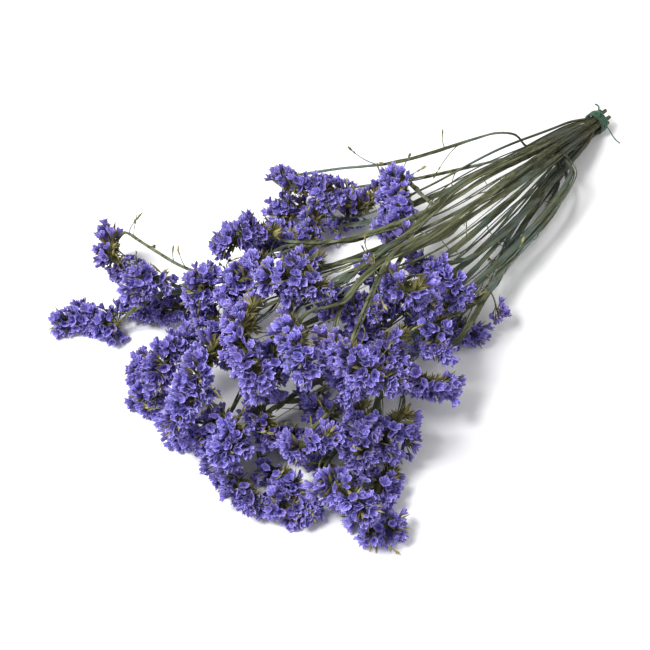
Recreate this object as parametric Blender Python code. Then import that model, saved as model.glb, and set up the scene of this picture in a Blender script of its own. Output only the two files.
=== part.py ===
"""A bunch of dried statice, tied near its cut ends and lying on its side.

Thirteen winged stems run through the tie at +X and fan out towards -X, where each forks into
branches that end in one-sided spikes of violet calyces. Metres, +Z up.
"""

import math
import random
from collections import namedtuple

import bmesh
import bpy
import numpy as np
from mathutils import Matrix, Vector
from mathutils.bvhtree import BVHTree

MM = 0.001

# Where the middle of the bunch's box lies in the frame the points below are given in, in mm.
BUNCH_MIDDLE = (121.4, 25.7)

# The tie and the stems inside it, in mm.
TIE_X = 418.0
TIE_Y = 10.0
TIE_Z = 12.6
TIE_INNER = 10.4
TIE_OUTER = 13.0
TIE_WIDTH = 10.0
STEM_IN_TIE = 2.1
INNER_RING = 4.5
OUTER_RING = 7.8

# Half widths and gaps of the wood, in mm.
STEM_REACH = 3.2
BRANCH_REACH = 1.7
SPINE_REACH = 1.5
GAP = 1.0
# While lines ease apart, each turn leaves this share of their sideways shift, for this share of the turns.
HOMEWARD = 0.992
CROWDED_SHARE = 0.8
WAY_STEP = 28.0
BRANCH_STEP = 24.0
SPINE_STEP = 12.0

# The violet body of a head, measured out from its spine, in mm.
CORE_OFF = 5.0
CORE_REACH = 2.8
VIOLET_OFF = 9.0
VIOLET_REACH = 15.0
FLORET_LENGTH = 15.0
FLORET_RIM = 9.2
ROW_STEP = 12.5
LONGER = 1.2
PRESSED = 3.0
SEAT = 0.6

# The share of its triangles that each kind of body keeps once it is joined.
WOOD_KEPT = 0.75
VIOLET_KEPT = 0.6
# How much of a calyx's round stays clear of the wood, and the size below which a calyx is left out.
WOOD_CLEARANCE = 0.96
LEAST_SIZE = 0.5

Head = namedtuple("Head", "name spine faces via", defaults=((),))
Stem = namedtuple("Stem", "name ring angle way heads")

# Each stem: its place in the tie (ring and angle), its way from the tie in cm, and its heads.
# The first head ends the stem, and the others stand on branches. A head gives the middle line of its
# violet spike, base first, in cm, the side its calyces face, and points its branch passes on the way.
STEMS = (
    Stem("arm", INNER_RING, 120, ((23.5, -0.5, 5), (12, 2, 4.2), (2, 5, 3.6), (-5.5, 9, 3), (-11, 14.5, 2.4)), (
        Head("tip", ((-14.5, 16, 1.6), (-15, 18, 1.5), (-16.5, 19, 1.4)), (-1, -0.2, 0.7)),
        Head("mid", ((-8.5, 10.5, 3.2), (-10, 12.5, 2.6), (-11.5, 15, 2)), (-0.8, -0.6, 0.4)),
        Head("knob", ((-10, 13, 5), (-10.5, 14, 5.2), (-11.5, 13.5, 5)), (-0.3, 0.3, 0.9)),
        Head("twig", ((-9.5, 22, 4), (-10.5, 21, 3.6), (-10.5, 20, 3.2)), (-1, 0, 0.3),
             ((-6.5, 13, 4.6), (-7.5, 18.5, 4.6))),
        Head("face", ((-6, 10, 6.5), (-7, 10, 6.8), (-8, 9.5, 6.4)), (-0.4, 0.3, 0.9)),
    )),
    Stem("left", INNER_RING, 0, ((24, 0.5, 6), (13.5, 1.5, 6), (5, 4.5, 5.4), (1, 8, 5)), (
        Head("big", ((0, 9.5, 6), (-1.5, 10.5, 6.4), (-3.5, 11, 6)), (-0.3, 0.5, 0.8)),
        Head("front", ((-3, 7.5, 6.5), (-4.5, 7, 6.8), (-6.5, 7, 6)), (-0.5, 0.1, 0.9)),
        Head("crown", ((2.5, 9.5, 5.5), (1.5, 10, 5.8), (0, 10, 5.6)), (0, 0.8, 0.7)),
        Head("low", ((-7, 5.5, 4.2), (-8.5, 6.5, 3.8), (-8.5, 9, 3.2)), (-0.9, -0.2, 0.5)),
    )),
    Stem("crest", OUTER_RING, 150, ((20.5, -2.5, 7), (9.5, -2.5, 8), (1.5, -0.5, 8.6), (-3.5, 0.5, 8.6)), (
        Head("comb", ((-7.5, 2.5, 9), (-9.5, 1.5, 9.4), (-11, -0.5, 9.4), (-11.5, -2.5, 9)), (-1, 0, 0.5)),
        Head("cup", ((-9, -1.5, 7.6), (-10, -3, 7.2), (-11, -2.5, 6.6)), (-0.7, -0.5, 0.5)),
        Head("dome", ((1, 4, 8), (-0.5, 4.5, 8.4), (-1.5, 4, 8)), (-0.3, 0.5, 0.9)),
        Head("bar", ((-2.5, -0.5, 9.2), (-3.5, 1, 9.6), (-4.5, 2.5, 9.2)), (-0.8, -0.2, 0.7)),
    )),
    Stem("low", 0, 0, ((21.5, -2, 4), (10.5, -2, 3.6), (-0.5, 0.5, 3.4), (-8.5, 2, 4.2)), (
        Head("pad", ((-11.5, 5.5, 4.6), (-13.5, 6, 4.6), (-15.5, 5.5, 4)), (-0.3, 0.2, 0.9)),
        Head("hook", ((-15, 10, 1.8), (-16.5, 8.5, 1.6), (-17, 7, 1.4), (-16, 5.5, 1.4)), (-1, 0.1, 0.6)),
        Head("long", ((-12, 3, 5.6), (-14, 2, 5.6), (-15.5, 1.5, 4.8), (-17, 1, 3.6)), (-0.3, 0.3, 0.9)),
        Head("foot", ((-16, 0, 1.8), (-17, 0.5, 1.5), (-17.5, 1.5, 1.4)), (-1, -0.3, 0.6)),
    )),
    Stem("sweep", INNER_RING, 240, ((21, -3, 3.4), (10.5, -3, 3), (-2, -3, 2.8), (-10, -2.5, 3)), (
        Head("mid", ((-14, -4, 2.4), (-14, -5.5, 2.2), (-14, -7.5, 1.8)), (-1, 0, 0.6)),
        Head("root", ((-15, -1, 3), (-13.5, -1.5, 3.6), (-13.5, -3, 3.4), (-15, -3.5, 3)), (0.2, -0.3, 0.9)),
        Head("tip", ((-14, -7.5, 2.2), (-13.5, -9, 2), (-15, -10, 1.6), (-14.5, -11, 1.4)), (-0.9, -0.5, 0.5)),
    )),
    Stem("under", INNER_RING, 300, ((20.5, -3.5, 2.4), (10.5, -4.5, 2.2), (1, -4.5, 2.6), (-7, -4.5, 3.2)), (
        Head("smile", ((-11.5, -3.5, 3.2), (-11.5, -5.5, 2.8), (-10.5, -6, 2.6), (-10.5, -7, 2.2)), (-1, -0.3, 0.4)),
        Head("ball", ((-8.5, -6.5, 4.2), (-8.5, -7.5, 4), (-9, -8, 3.6)), (-0.9, -0.2, 0.6)),
    )),
    Stem("fall", OUTER_RING, 210, ((33, -0.5, 3.6), (31.5, -3, 3.6), (26.5, -4.5, 3.4), (17.5, -6, 3.6),
                                   (9.5, -6.5, 4.2), (1.5, -7, 5.4), (-2.5, -9, 5.2), (-6, -10.5, 4.6)), (
        Head("brow", ((-10.5, -10, 2.8), (-10.5, -11, 2.8), (-10, -12.5, 2.6)), (-1, -0.1, 0.5)),
        Head("cheek", ((-11.5, -12.5, 2), (-11, -14, 2), (-11, -15, 1.8)), (-1, -0.2, 0.6)),
        Head("chin", ((-11, -13.5, 1.3), (-10.5, -14.5, 1.4), (-9.5, -15, 1.4)), (-0.4, -1, 0.5)),
        Head("side", ((-8, -13, 2.4), (-9, -13, 2.6), (-10, -13.5, 2.2)), (0, -0.8, 0.7)),
    )),
    Stem("heart", OUTER_RING + 0.8, 90, ((21.5, -1.5, 8), (11, -2, 9.2), (3.5, -1, 9.8), (0, -2, 10)), (
        Head("curl", ((-5.5, -1, 9.8), (-6.5, -3, 10), (-7, -4.5, 9.6)), (-0.9, 0.1, 0.6)),
        Head("bloom", ((-5, -4, 9.4), (-6, -6, 10), (-6, -7.5, 9.6)), (-0.8, -0.1, 0.7)),
        Head("fan", ((-6, -8, 10.4), (-6.5, -9.5, 10.4), (-5.5, -11, 9.8)), (-0.8, -0.3, 0.6)),
    )),
    Stem("drop", OUTER_RING, 330, ((20, -4.5, 1.8), (8.5, -6, 2.2), (1, -7.5, 3.4)), (
        Head("body", ((-6, -9, 5.4), (-7, -10, 5), (-8, -11, 4.2)), (-0.5, -0.2, 0.9)),
        Head("shelf", ((-10, -9, 4.4), (-9, -9.5, 4.6), (-8, -10, 4.6)), (-0.6, 0.5, 0.6)),
        Head("edge", ((-4, -11.5, 4), (-5.5, -11.5, 4.2), (-6.5, -12, 3.6)), (-0.2, -0.8, 0.6)),
    )),
    Stem("high", OUTER_RING, 30, ((33, 2, 3.4), (22.5, 3, 5), (15.5, 5.5, 4.4), (10.5, 8, 3.6)), (
        Head("knot", ((8.5, 13.5, 2.6), (7, 14, 2.4), (6, 13.5, 2.2)), (-0.2, 0.8, 0.6)),
        Head("tip", ((9, 15.5, 3), (9.5, 14, 3), (10.5, 13, 3.2), (10, 11.5, 3.2)), (0.8, 0.4, 0.6),
             ((28, 4, 6.5), (18.5, 8.5, 5), (13, 13.5, 3.4))),
        Head("row", ((12, 12.5, 3.6), (12.5, 10.5, 3.8), (12, 9, 4), (14, 9, 4)), (0.6, 0.2, 0.8),
             ((26, 2, 6), (18.5, 8.5, 3.4))),
        Head("plume", ((8.5, 11.5, 3.8), (7, 10.5, 3.8), (5, 9.5, 3.6)), (-0.4, 0.3, 0.9)),
    )),
    Stem("ridge", INNER_RING, 60, ((24, 0.5, 7.2), (17, 1, 7.8), (11, 0, 8), (6.5, -0.5, 8.8)), (
        Head("blaze", ((-1, -1, 9), (0, -2, 9.2), (0.5, -3, 9)), (-0.9, -0.3, 0.6)),
        Head("mane", ((15, 6.5, 6), (13.5, 4.5, 6.4), (12.5, 3, 6.2), (11, 3, 5.6)), (-0.6, 0.6, 0.7)),
        Head("twin", ((4.5, -1, 8.4), (4.5, -2.5, 8.2), (3, -3, 7.8)), (-0.5, 0.1, 0.9)),
        Head("moon", ((3.5, -4, 8.8), (3.5, -5.5, 9), (4.5, -5.5, 8.8)), (-0.6, -0.6, 0.6)),
    )),
    Stem("flank", INNER_RING, 180, ((22.5, -3.5, 4.8), (14.5, -4, 5.8), (10.5, -3, 6.2)), (
        Head("flame", ((5.5, -6, 6.8), (4.5, -7.5, 6.8), (3.5, -8.5, 6.4)), (-0.6, -0.3, 0.8)),
        Head("saddle", ((8, -2.5, 6.6), (8, -4.5, 6.6), (8, -6, 6)), (-0.7, -0.1, 0.8)),
        Head("wing", ((7.5, -6.5, 2.6), (9, -7, 2.4), (10, -8, 2)), (0.4, -0.9, 0.5),
             ((21, -4, 3), (13.5, -7.5, 2.4))),
    )),
    Stem("rear", OUTER_RING, 270, ((35, 0.5, 2.2), (31.5, -3, 2.2), (25, -5, 2.2), (18.5, -5.5, 2.2),
                                   (12, -7, 2.2), (5, -8.5, 2.6)), (
        Head("skirt", ((-0.5, -8, 4.4), (-0.5, -9.5, 4), (1, -10.5, 3.4)), (-0.7, -0.7, 0.4)),
        Head("cluster", ((1, -4, 7.6), (0, -5.5, 7.8), (-0.5, -6.5, 7.4)), (-0.9, -0.1, 0.6)),
        Head("cap", ((2, -7.5, 6.8), (0.5, -7.5, 6.6), (0, -8, 6)), (-0.3, -0.6, 0.8)),
    )),
)

# The heads that lie on the surface, where the weight of the bunch presses their lowest calyces flat.
FEET = ("arm_tip", "low_hook", "low_foot", "sweep_tip", "fall_chin")

LEAF_GREEN = (0.11, 0.115, 0.05)
CALYX_VIOLET = (0.13, 0.09, 0.42)
TIE_GREEN = (0.0, 0.12, 0.035)


def spline(points, steps):
    """Points along a smooth curve through the ones given, a number of steps between each two."""
    points = [np.array(p, float) for p in points]
    points = [2 * points[0] - points[1]] + points + [2 * points[-1] - points[-2]]
    found = [points[1]]
    for before, start, end, after in zip(points, points[1:], points[2:], points[3:]):
        for step in range(1, steps + 1):
            t = step / steps
            found.append(0.5 * (2 * start + (end - before) * t
                                + (2 * before - 5 * start + 4 * end - after) * t * t
                                + (3 * start - before - 3 * end + after) * t ** 3))
    return np.array(found)


def evenly(points, spacing):
    """The same line with its points about this far apart."""
    along = np.concatenate([[0], np.cumsum(np.linalg.norm(np.diff(points, axis=0), axis=1))])
    count = max(2, round(along[-1] / spacing) + 1)
    places = np.linspace(0, along[-1], count)
    return np.stack([np.interp(places, along, points[:, axis]) for axis in range(3)], axis=1)


def directions(points):
    """The unit direction of the line at each of its points."""
    slope = np.gradient(points, axis=0)
    return slope / np.linalg.norm(slope, axis=1, keepdims=True)


def sides(points, faces):
    """The way the calyces face at each point: the head's own way, square to its line."""
    along = directions(points)
    faces = np.array(faces, float) / np.linalg.norm(faces)
    across = faces - along * (along @ faces)[:, None]
    lengths = np.linalg.norm(across, axis=1, keepdims=True)
    across = np.where(lengths > 0.25, across / np.maximum(lengths, 1e-6), faces)
    return across / np.linalg.norm(across, axis=1, keepdims=True)


class Chain:
    """One run of wood: its points' places in the layout's list, and the head it ends in."""

    def __init__(self, stem, head, first, count, spine_from, root):
        self.stem = stem
        self.head = head
        self.points = list(range(first, first + count))
        self.spine_from = spine_from
        self.root = root

    def spine(self):
        return self.points[self.spine_from:]


class Layout:
    """All the wood of the bunch, as lines of points with a half width each."""

    def __init__(self):
        self.places = []
        self.reach = []
        self.chains = []

    def add(self, stem, head, way, reach, spine, root=None):
        first = len(self.places)
        self.places += list(way) + list(spine)
        self.reach += list(reach) + [SPINE_REACH] * len(spine)
        self.chains.append(Chain(stem, head, first, len(way) + len(spine), len(way), root))
        return self.chains[-1]


def spine_of(head):
    """The line of the head's own stalk, behind its violet body."""
    drawn = np.array(head.spine) * 10
    drawn = drawn.mean(axis=0) + LONGER * (drawn - drawn.mean(axis=0))
    middle = evenly(spline(drawn, 6), SPINE_STEP)
    return middle - VIOLET_OFF * sides(middle, head.faces)


def add_stem(layout, stem):
    """The stem from its cut end through the tie, with its first head's stalk at the end."""
    turn = math.radians(stem.angle)
    y = TIE_Y + stem.ring * math.cos(turn)
    z = TIE_Z + stem.ring * math.sin(turn)
    cut = TIE_X + 13 + 3 * math.sin(2.3 * stem.angle + stem.ring)
    held = [(cut, y, z), (TIE_X + 6, y, z), (TIE_X - 8, y, z)]
    spine = spine_of(stem.heads[0])
    lead = spine[0] - 14 * directions(spine)[0]
    way = [held[-1]] + [np.array(p) * 10 for p in stem.way] + [lead, spine[0]]
    loose = evenly(spline(way, 6), WAY_STEP)[1:-1]
    points = np.array(held + list(loose))
    grown = np.interp(-points[:, 0], (-TIE_X + 8, -TIE_X + 60), (STEM_IN_TIE, STEM_REACH))
    slender = np.interp(points[:, 0], (0, 150), (0.8, 1))
    return layout.add(stem.name, stem.heads[0], points, grown * slender, spine)


def fork_for(layout, trunk, taken, target):
    """The last free point of the stem from which the target lies ahead."""
    line = [layout.places[i] for i in trunk.points[:trunk.spine_from]]
    ahead = directions(np.array(line))
    found = None
    for place in range(5, len(line)):
        way = target - line[place]
        if place not in taken and way @ ahead[place] > 0.88 * np.linalg.norm(way):
            found = place
    if found is None:
        free = [place for place in range(5, len(line)) if place not in taken]
        found = min(free, key=lambda place: np.linalg.norm(target - line[place]))
    taken.add(found)
    return trunk.points[found], ahead[found]


def add_branch(layout, trunk, taken, head):
    """A branch from the stem to the head's stalk."""
    spine = spine_of(head)
    lead = spine[0] - 13 * directions(spine)[0]
    via = [np.array(p) * 10 for p in head.via]
    root, ahead = fork_for(layout, trunk, taken, (via + [lead])[0])
    start = layout.places[root]
    leaving = start + 0.3 * np.linalg.norm((via + [lead])[0] - start) * ahead
    way = evenly(spline([start, leaving] + via + [lead, spine[0]], 6), BRANCH_STEP)[:-1]
    layout.add(trunk.stem, head, way, [BRANCH_REACH] * len(way), spine, root)


def grow():
    """The bunch's layout before its crossings are eased apart."""
    layout = Layout()
    for stem in STEMS:
        trunk = add_stem(layout, stem)
        taken = set()
        for head in stem.heads[1:]:
            add_branch(layout, trunk, taken, head)
    layout.places = np.array(layout.places)
    layout.reach = np.array(layout.reach)
    return layout


class Rods:
    """The layout as straight rods: two ends, an offset, a half width and what each belongs to."""

    def __init__(self, layout):
        ends, offs, reach, stem, head = [], [], [], [], []
        for number, chain in enumerate(layout.chains):
            for a, b in zip(chain.points, chain.points[1:]):
                ends.append((a, b))
                offs.append(((0, 0, 0), (0, 0, 0)))
                reach.append(max(layout.reach[a], layout.reach[b]))
                stem.append(chain.stem)
                head.append(-1 if b < chain.points[chain.spine_from] - 1 else number)
            spine = chain.spine()
            out = VIOLET_OFF * sides(layout.places[spine], chain.head.faces)
            for a, b, off_a, off_b in zip(spine, spine[1:], out, out[1:]):
                ends.append((a, b))
                offs.append((off_a, off_b))
                reach.append(VIOLET_REACH)
                stem.append(chain.stem)
                head.append(number)
        self.ends = np.array(ends)
        self.offs = np.array(offs, float)
        self.reach = np.array(reach)
        names = sorted(set(stem))
        self.stem = np.array([names.index(name) for name in stem])
        self.head = np.array(head)
        self.violet = self.reach == VIOLET_REACH

    def pairs(self, places):
        """The rods near enough to meet, leaving out those that may."""
        start = places[self.ends[:, 0]] + self.offs[:, 0]
        end = places[self.ends[:, 1]] + self.offs[:, 1]
        middle = (start + end) / 2
        size = np.linalg.norm(end - start, axis=1) / 2 + self.reach
        one, two = np.triu_indices(len(size), 1)
        apart = np.linalg.norm(middle[one] - middle[two], axis=1)
        near = apart < size[one] + size[two] + 6
        same_head = (self.head[one] == self.head[two]) & (self.head[one] >= 0)
        wood = ~self.violet[one] & ~self.violet[two] & (self.stem[one] == self.stem[two])
        keep = near & ~same_head & ~wood
        return one[keep], two[keep]


def closest(start_a, end_a, start_b, end_b):
    """How far along each of two rods the two come closest."""
    a, b, between = end_a - start_a, end_b - start_b, start_a - start_b
    aa, bb, ab = (a * a).sum(1), (b * b).sum(1), (a * b).sum(1)
    a_between, b_between = (a * between).sum(1), (b * between).sum(1)
    spread = aa * bb - ab * ab
    s = np.clip((ab * b_between - a_between * bb) / np.maximum(spread, 1e-6), 0, 1)
    t = np.clip((ab * s + b_between) / np.maximum(bb, 1e-6), 0, 1)
    s = np.clip((ab * t - a_between) / np.maximum(aa, 1e-6), 0, 1)
    return s, t


def pushes(rods, places, one, two):
    """What each point is moved by so that the rods it belongs to clear each other, and how many push it."""
    a0 = places[rods.ends[one, 0]] + rods.offs[one, 0]
    a1 = places[rods.ends[one, 1]] + rods.offs[one, 1]
    b0 = places[rods.ends[two, 0]] + rods.offs[two, 0]
    b1 = places[rods.ends[two, 1]] + rods.offs[two, 1]
    s, t = closest(a0, a1, b0, b1)
    line = (a0 + (a1 - a0) * s[:, None]) - (b0 + (b1 - b0) * t[:, None])
    apart = np.linalg.norm(line, axis=1)
    line[apart < 1e-3] = (0, 0, 1)
    lack = rods.reach[one] + rods.reach[two] + GAP - apart
    hit = lack > 0
    way = line[hit] / np.maximum(apart[hit], 1e-3)[:, None] * (lack[hit] / 2)[:, None]
    moved = np.zeros_like(places)
    count = np.zeros(len(places))
    for pair, share, sign in ((one, s, 1), (two, t, -1)):
        ends = rods.ends[pair[hit]]
        for column, weight in ((0, 1 - share[hit]), (1, share[hit])):
            np.add.at(moved, ends[:, column], sign * way * weight[:, None])
            np.add.at(count, ends[:, column], weight)
    return moved / np.maximum(count, 1)[:, None], lack[hit].max(initial=0)


def untangle(layout, rounds=600):
    """Eases crossing stems and heads apart, bending each line softly, and keeps all above the surface."""
    rods = Rods(layout)
    first = layout.places.copy()
    shift = np.zeros_like(first)
    held = [i for chain in layout.chains if chain.root is None for i in chain.points[:3]]
    low = np.array(layout.reach)
    feet = []
    for chain in layout.chains:
        spine = chain.spine()
        out = sides(layout.places[spine], chain.head.faces)[:, 2]
        lies = chain.stem + "_" + chain.head.name in FEET
        low[spine] = np.maximum(low[spine], VIOLET_REACH - (PRESSED if lies else 0.3) - VIOLET_OFF * out)
        feet += spine if lies else []
    for turn in range(rounds):
        places = first + shift
        if turn % 8 == 0:
            one, two = rods.pairs(places)
        step, worst = pushes(rods, places, one, two)
        shift += 1.2 * step
        crowded = turn < CROWDED_SHARE * rounds
        if crowded:
            shift[:, :2] *= HOMEWARD
        shift[feet, 2] -= 0.5
        shift[:, 2] = np.maximum(shift[:, 2], low - first[:, 2])
        soft = 0.35 if crowded else 0.08
        eased = shift.copy()
        for chain in layout.chains:
            line = chain.points
            eased[line[1:-1]] += soft * ((shift[line[:-2]] + shift[line[2:]]) / 2 - shift[line[1:-1]])
            if chain.root is not None:
                eased[line[0]] = shift[chain.root]
            spine = chain.spine()
            eased[spine] += soft * (shift[spine].mean(axis=0) - shift[spine])
        shift = eased
        shift[held] = 0
        shift[:, 2] = np.maximum(shift[:, 2], low - first[:, 2])
    for chain in layout.chains:
        if chain.root is not None:
            shift[chain.points[0]] = shift[chain.root]
    layout.places = np.round(first + shift, 1)
    return worst


class Floret:
    """One calyx of a head: where it is rooted in the core, the way it opens, and its size."""

    def __init__(self, head, root, way, size):
        self.head = head
        self.root = root
        self.way = way
        self.size = size

    def middle(self, size):
        return self.root + self.way * FLORET_LENGTH * 0.72 * size


def at_place(line, place):
    """The point of a line at this place between its points' numbers."""
    return np.array([np.interp(place, range(len(line)), line[:, axis]) for axis in range(3)])


def florets_of(name, layout, chain):
    """The calyces of one head, in rows of three and two by turns."""
    chance = random.Random(name)
    spine = layout.places[chain.spine()]
    out = sides(spine, chain.head.faces)
    core = spine + CORE_OFF * out
    along = directions(spine)
    length = np.linalg.norm(np.diff(core, axis=0), axis=1).sum()
    rows = max(3, round(length / ROW_STEP))
    for row in range(rows):
        share = (row + 0.35) / (rows - 0.3)
        place = share * (len(spine) - 1)
        root, front, ahead = (at_place(line, place) for line in (core, out, along))
        aside = np.cross(ahead, front)
        for turn in ((-56, 0, 56), (-31, 31))[row % 2]:
            turn = math.radians(turn + chance.uniform(-7, 7))
            lean = 0.55 * (2 * share - 1) + chance.uniform(-0.12, 0.12)
            way = front * math.cos(turn) + aside * math.sin(turn) + ahead * lean
            way /= np.linalg.norm(way)
            yield Floret(name, root, way, chance.uniform(0.92, 1.08))


def with_room(florets, layout):
    """The calyces each made small enough to clear the wood and the other heads, without those that can't."""
    rods = Rods(layout)
    wood = ~rods.violet
    start = layout.places[rods.ends[wood, 0]]
    end = layout.places[rods.ends[wood, 1]]
    reach = rods.reach[wood]
    kept = []
    for floret in florets:
        size = floret.size
        while size > LEAST_SIZE:
            middle = floret.middle(size)
            ball = FLORET_RIM * size * 0.98
            along = ((middle - start) * (end - start)).sum(1) / ((end - start) ** 2).sum(1)
            nearest = start + (end - start) * np.clip(along, 0, 1)[:, None]
            clear = (np.linalg.norm(middle - nearest, axis=1) - reach).min() > ball * WOOD_CLEARANCE + GAP
            others = [other for other in kept if other.head != floret.head]
            clear = clear and all(
                np.linalg.norm(other.middle(other.size) - middle) > FLORET_RIM * other.size * 0.98 + ball
                for other in others)
            if clear:
                floret.size = size
                kept.append(floret)
                break
            size -= 0.08
    return kept


def to_frame(point):
    """A layout point, in mm, as a place in the part's frame, in metres."""
    return Vector((point[0] - BUNCH_MIDDLE[0], point[1] - BUNCH_MIDDLE[1], point[2])) * MM


def material(name, colour, roughness):
    made = bpy.data.materials.new(name)
    made.use_nodes = True
    shader = made.node_tree.nodes["Principled BSDF"]
    shader.inputs["Base Color"].default_value = (*colour, 1)
    shader.inputs["Roughness"].default_value = roughness
    made.diffuse_color = (*colour, 1)
    return made


def new_object(name, data, collection):
    made = bpy.data.objects.new(name, data)
    collection.objects.link(made)
    return made


def curve_object(name, points, scales, collection, profile=None, reach=None, sides_of=4):
    """A rod along the points: an outline drawn along it, or a round one of this half width."""
    data = bpy.data.curves.new(name, "CURVE")
    data.dimensions = "3D"
    data.use_fill_caps = True
    line = data.splines.new("POLY")
    line.points.add(len(points) - 1)
    for place, point, scale in zip(line.points, points, scales):
        place.co = (*to_frame(point), 1)
        place.radius = scale
    if profile is None:
        data.bevel_depth = reach * MM
        data.bevel_resolution = (sides_of - 4) // 2
    else:
        data.bevel_mode = "OBJECT"
        data.bevel_object = profile
    return new_object(name, data, collection)


def as_mesh(curve):
    """The curve object turned into a closed mesh object of the same name and place."""
    graph = bpy.context.evaluated_depsgraph_get()
    mesh = bpy.data.meshes.new_from_object(curve.evaluated_get(graph))
    weld = bmesh.new()
    weld.from_mesh(mesh)
    bmesh.ops.remove_doubles(weld, verts=weld.verts, dist=0.00001)
    bmesh.ops.recalc_face_normals(weld, faces=weld.faces)
    weld.to_mesh(mesh)
    weld.free()
    name = curve.name
    home = curve.users_collection[0]
    bpy.data.objects.remove(curve)
    return new_object(name, mesh, home)


def winged_outline(collection):
    """The cut across a stem: a thick middle with a thin wing on each side, as statice stems have."""
    data = bpy.data.curves.new("stem_outline", "CURVE")
    data.dimensions = "2D"
    line = data.splines.new("POLY")
    corners = ((3.0, 0.4), (0.0, 1.6), (-3.0, 0.4), (-3.0, -0.4), (0.0, -1.6), (3.0, -0.4))
    line.points.add(len(corners) - 1)
    for place, (x, y) in zip(line.points, corners):
        place.co = (x * MM, y * MM, 0, 1)
    line.use_cyclic_u = True
    made = new_object("stem_outline", data, collection)
    made.hide_render = True
    made.display_type = "WIRE"
    return made


def is_closed(mesh):
    """Whether every edge of the mesh joins exactly two faces that face the same way."""
    shape = bmesh.new()
    shape.from_mesh(mesh)
    whole = all(edge.is_manifold and edge.is_contiguous for edge in shape.edges)
    whole = whole and all(vertex.is_manifold for vertex in shape.verts)
    shape.free()
    return whole


def unite(first, others, scratch, kept):
    """Joins the others into the first as one body, removes them, and keeps about this share of its triangles."""
    join = first.modifiers.new("join", "BOOLEAN")
    join.operation = "UNION"
    join.operand_type = "COLLECTION"
    join.collection = scratch
    fewer = first.modifiers.new("fewer", "DECIMATE")
    fewer.use_collapse_triangulate = True
    tries = [(solver, min(1, kept + more)) for solver in ("EXACT", "MANIFOLD") for more in (0, 0.05, 0.1, 1)]
    for join.solver, fewer.ratio in tries:
        graph = bpy.context.evaluated_depsgraph_get()
        mesh = bpy.data.meshes.new_from_object(first.evaluated_get(graph))
        if is_closed(mesh):
            break
    first.modifiers.clear()
    first.data = mesh
    for other in others:
        bpy.data.objects.remove(other)


def leaf(name, at, way, collection):
    """A small pointed leaf where a branch leaves, its root inside the stem."""
    shape = bmesh.new()
    bmesh.ops.create_cone(shape, cap_ends=True, cap_tris=False, segments=4,
                          radius1=2.4 * MM, radius2=0.5 * MM, depth=17 * MM)
    bmesh.ops.scale(shape, vec=(1, 0.35, 1), verts=shape.verts)
    bmesh.ops.translate(shape, vec=(0, 0, 7.5 * MM), verts=shape.verts)
    turn = Vector(way).to_track_quat("Z", "Y").to_matrix().to_4x4()
    bmesh.ops.transform(shape, matrix=Matrix.Translation(to_frame(at)) @ turn, verts=shape.verts)
    mesh = bpy.data.meshes.new(name)
    shape.to_mesh(mesh)
    shape.free()
    return new_object(name, mesh, collection)


def build_stem(layout, stem_name, outline, target, scratch, green):
    """One stem with all its branches, stalks and leaves, as one body."""
    chains = [chain for chain in layout.chains if chain.stem == stem_name]
    trunk = None
    others = []
    for chain in chains:
        points = layout.places[chain.points]
        reach = layout.reach[chain.points]
        wave = [1 + 0.12 * (-1) ** i for i in range(len(points))]
        if trunk is None:
            trunk = as_mesh(curve_object("stem_" + stem_name, points, reach / 3.1, target, profile=outline))
        else:
            points = points.copy()
            points[0] = layout.places[chain.root]
            others.append(as_mesh(curve_object("branch", points, wave, scratch, reach=BRANCH_REACH * 0.88)))
            way = directions(points)[0] + directions(points)[1] + np.array((0, 0, 0.5))
            others.append(leaf("leaf", points[0], way, scratch))
    unite(trunk, others, scratch, WOOD_KEPT)
    trunk.data.materials.clear()
    trunk.data.materials.append(green)
    return trunk


def floret_object(floret, collection):
    """A calyx: an open five-sided funnel with a hollow face."""
    shape = bmesh.new()
    bmesh.ops.create_cone(shape, cap_ends=True, cap_tris=True, segments=5, radius1=0,
                          radius2=FLORET_RIM * MM, depth=FLORET_LENGTH * MM)
    bmesh.ops.remove_doubles(shape, verts=shape.verts, dist=0.00001)
    bmesh.ops.translate(shape, vec=(0, 0, FLORET_LENGTH * MM / 2), verts=shape.verts)
    for vertex in shape.verts:
        if vertex.co.z > 0.5 * FLORET_LENGTH * MM and vertex.co.xy.length < 0.5 * MM:
            vertex.co.z -= 3.2 * MM
    turn = Vector(floret.way).to_track_quat("Z", "Y").to_matrix().to_4x4()
    place = Matrix.Translation(to_frame(floret.root)) @ turn @ Matrix.Scale(floret.size, 4)
    bmesh.ops.transform(shape, matrix=place, verts=shape.verts)
    bmesh.ops.recalc_face_normals(shape, faces=shape.faces)
    mesh = bpy.data.meshes.new("floret")
    shape.to_mesh(mesh)
    shape.free()
    return new_object("floret", mesh, collection)


def press_flat(made, guides):
    """Cuts the lowest calyces, or the tie, level with the surface the bunch lies on."""
    shape = bmesh.new()
    bmesh.ops.create_cube(shape, size=1)
    bmesh.ops.translate(shape, vec=(0, 0, -0.5), verts=shape.verts)
    mesh = bpy.data.meshes.new("surface")
    shape.to_mesh(mesh)
    shape.free()
    surface = new_object("surface", mesh, guides)
    press = made.modifiers.new("press", "BOOLEAN")
    press.operation = "DIFFERENCE"
    press.solver = "MANIFOLD"
    press.object = surface
    graph = bpy.context.evaluated_depsgraph_get()
    pressed = bpy.data.meshes.new_from_object(made.evaluated_get(graph))
    made.modifiers.clear()
    made.data = pressed
    bpy.data.objects.remove(surface)


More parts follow.
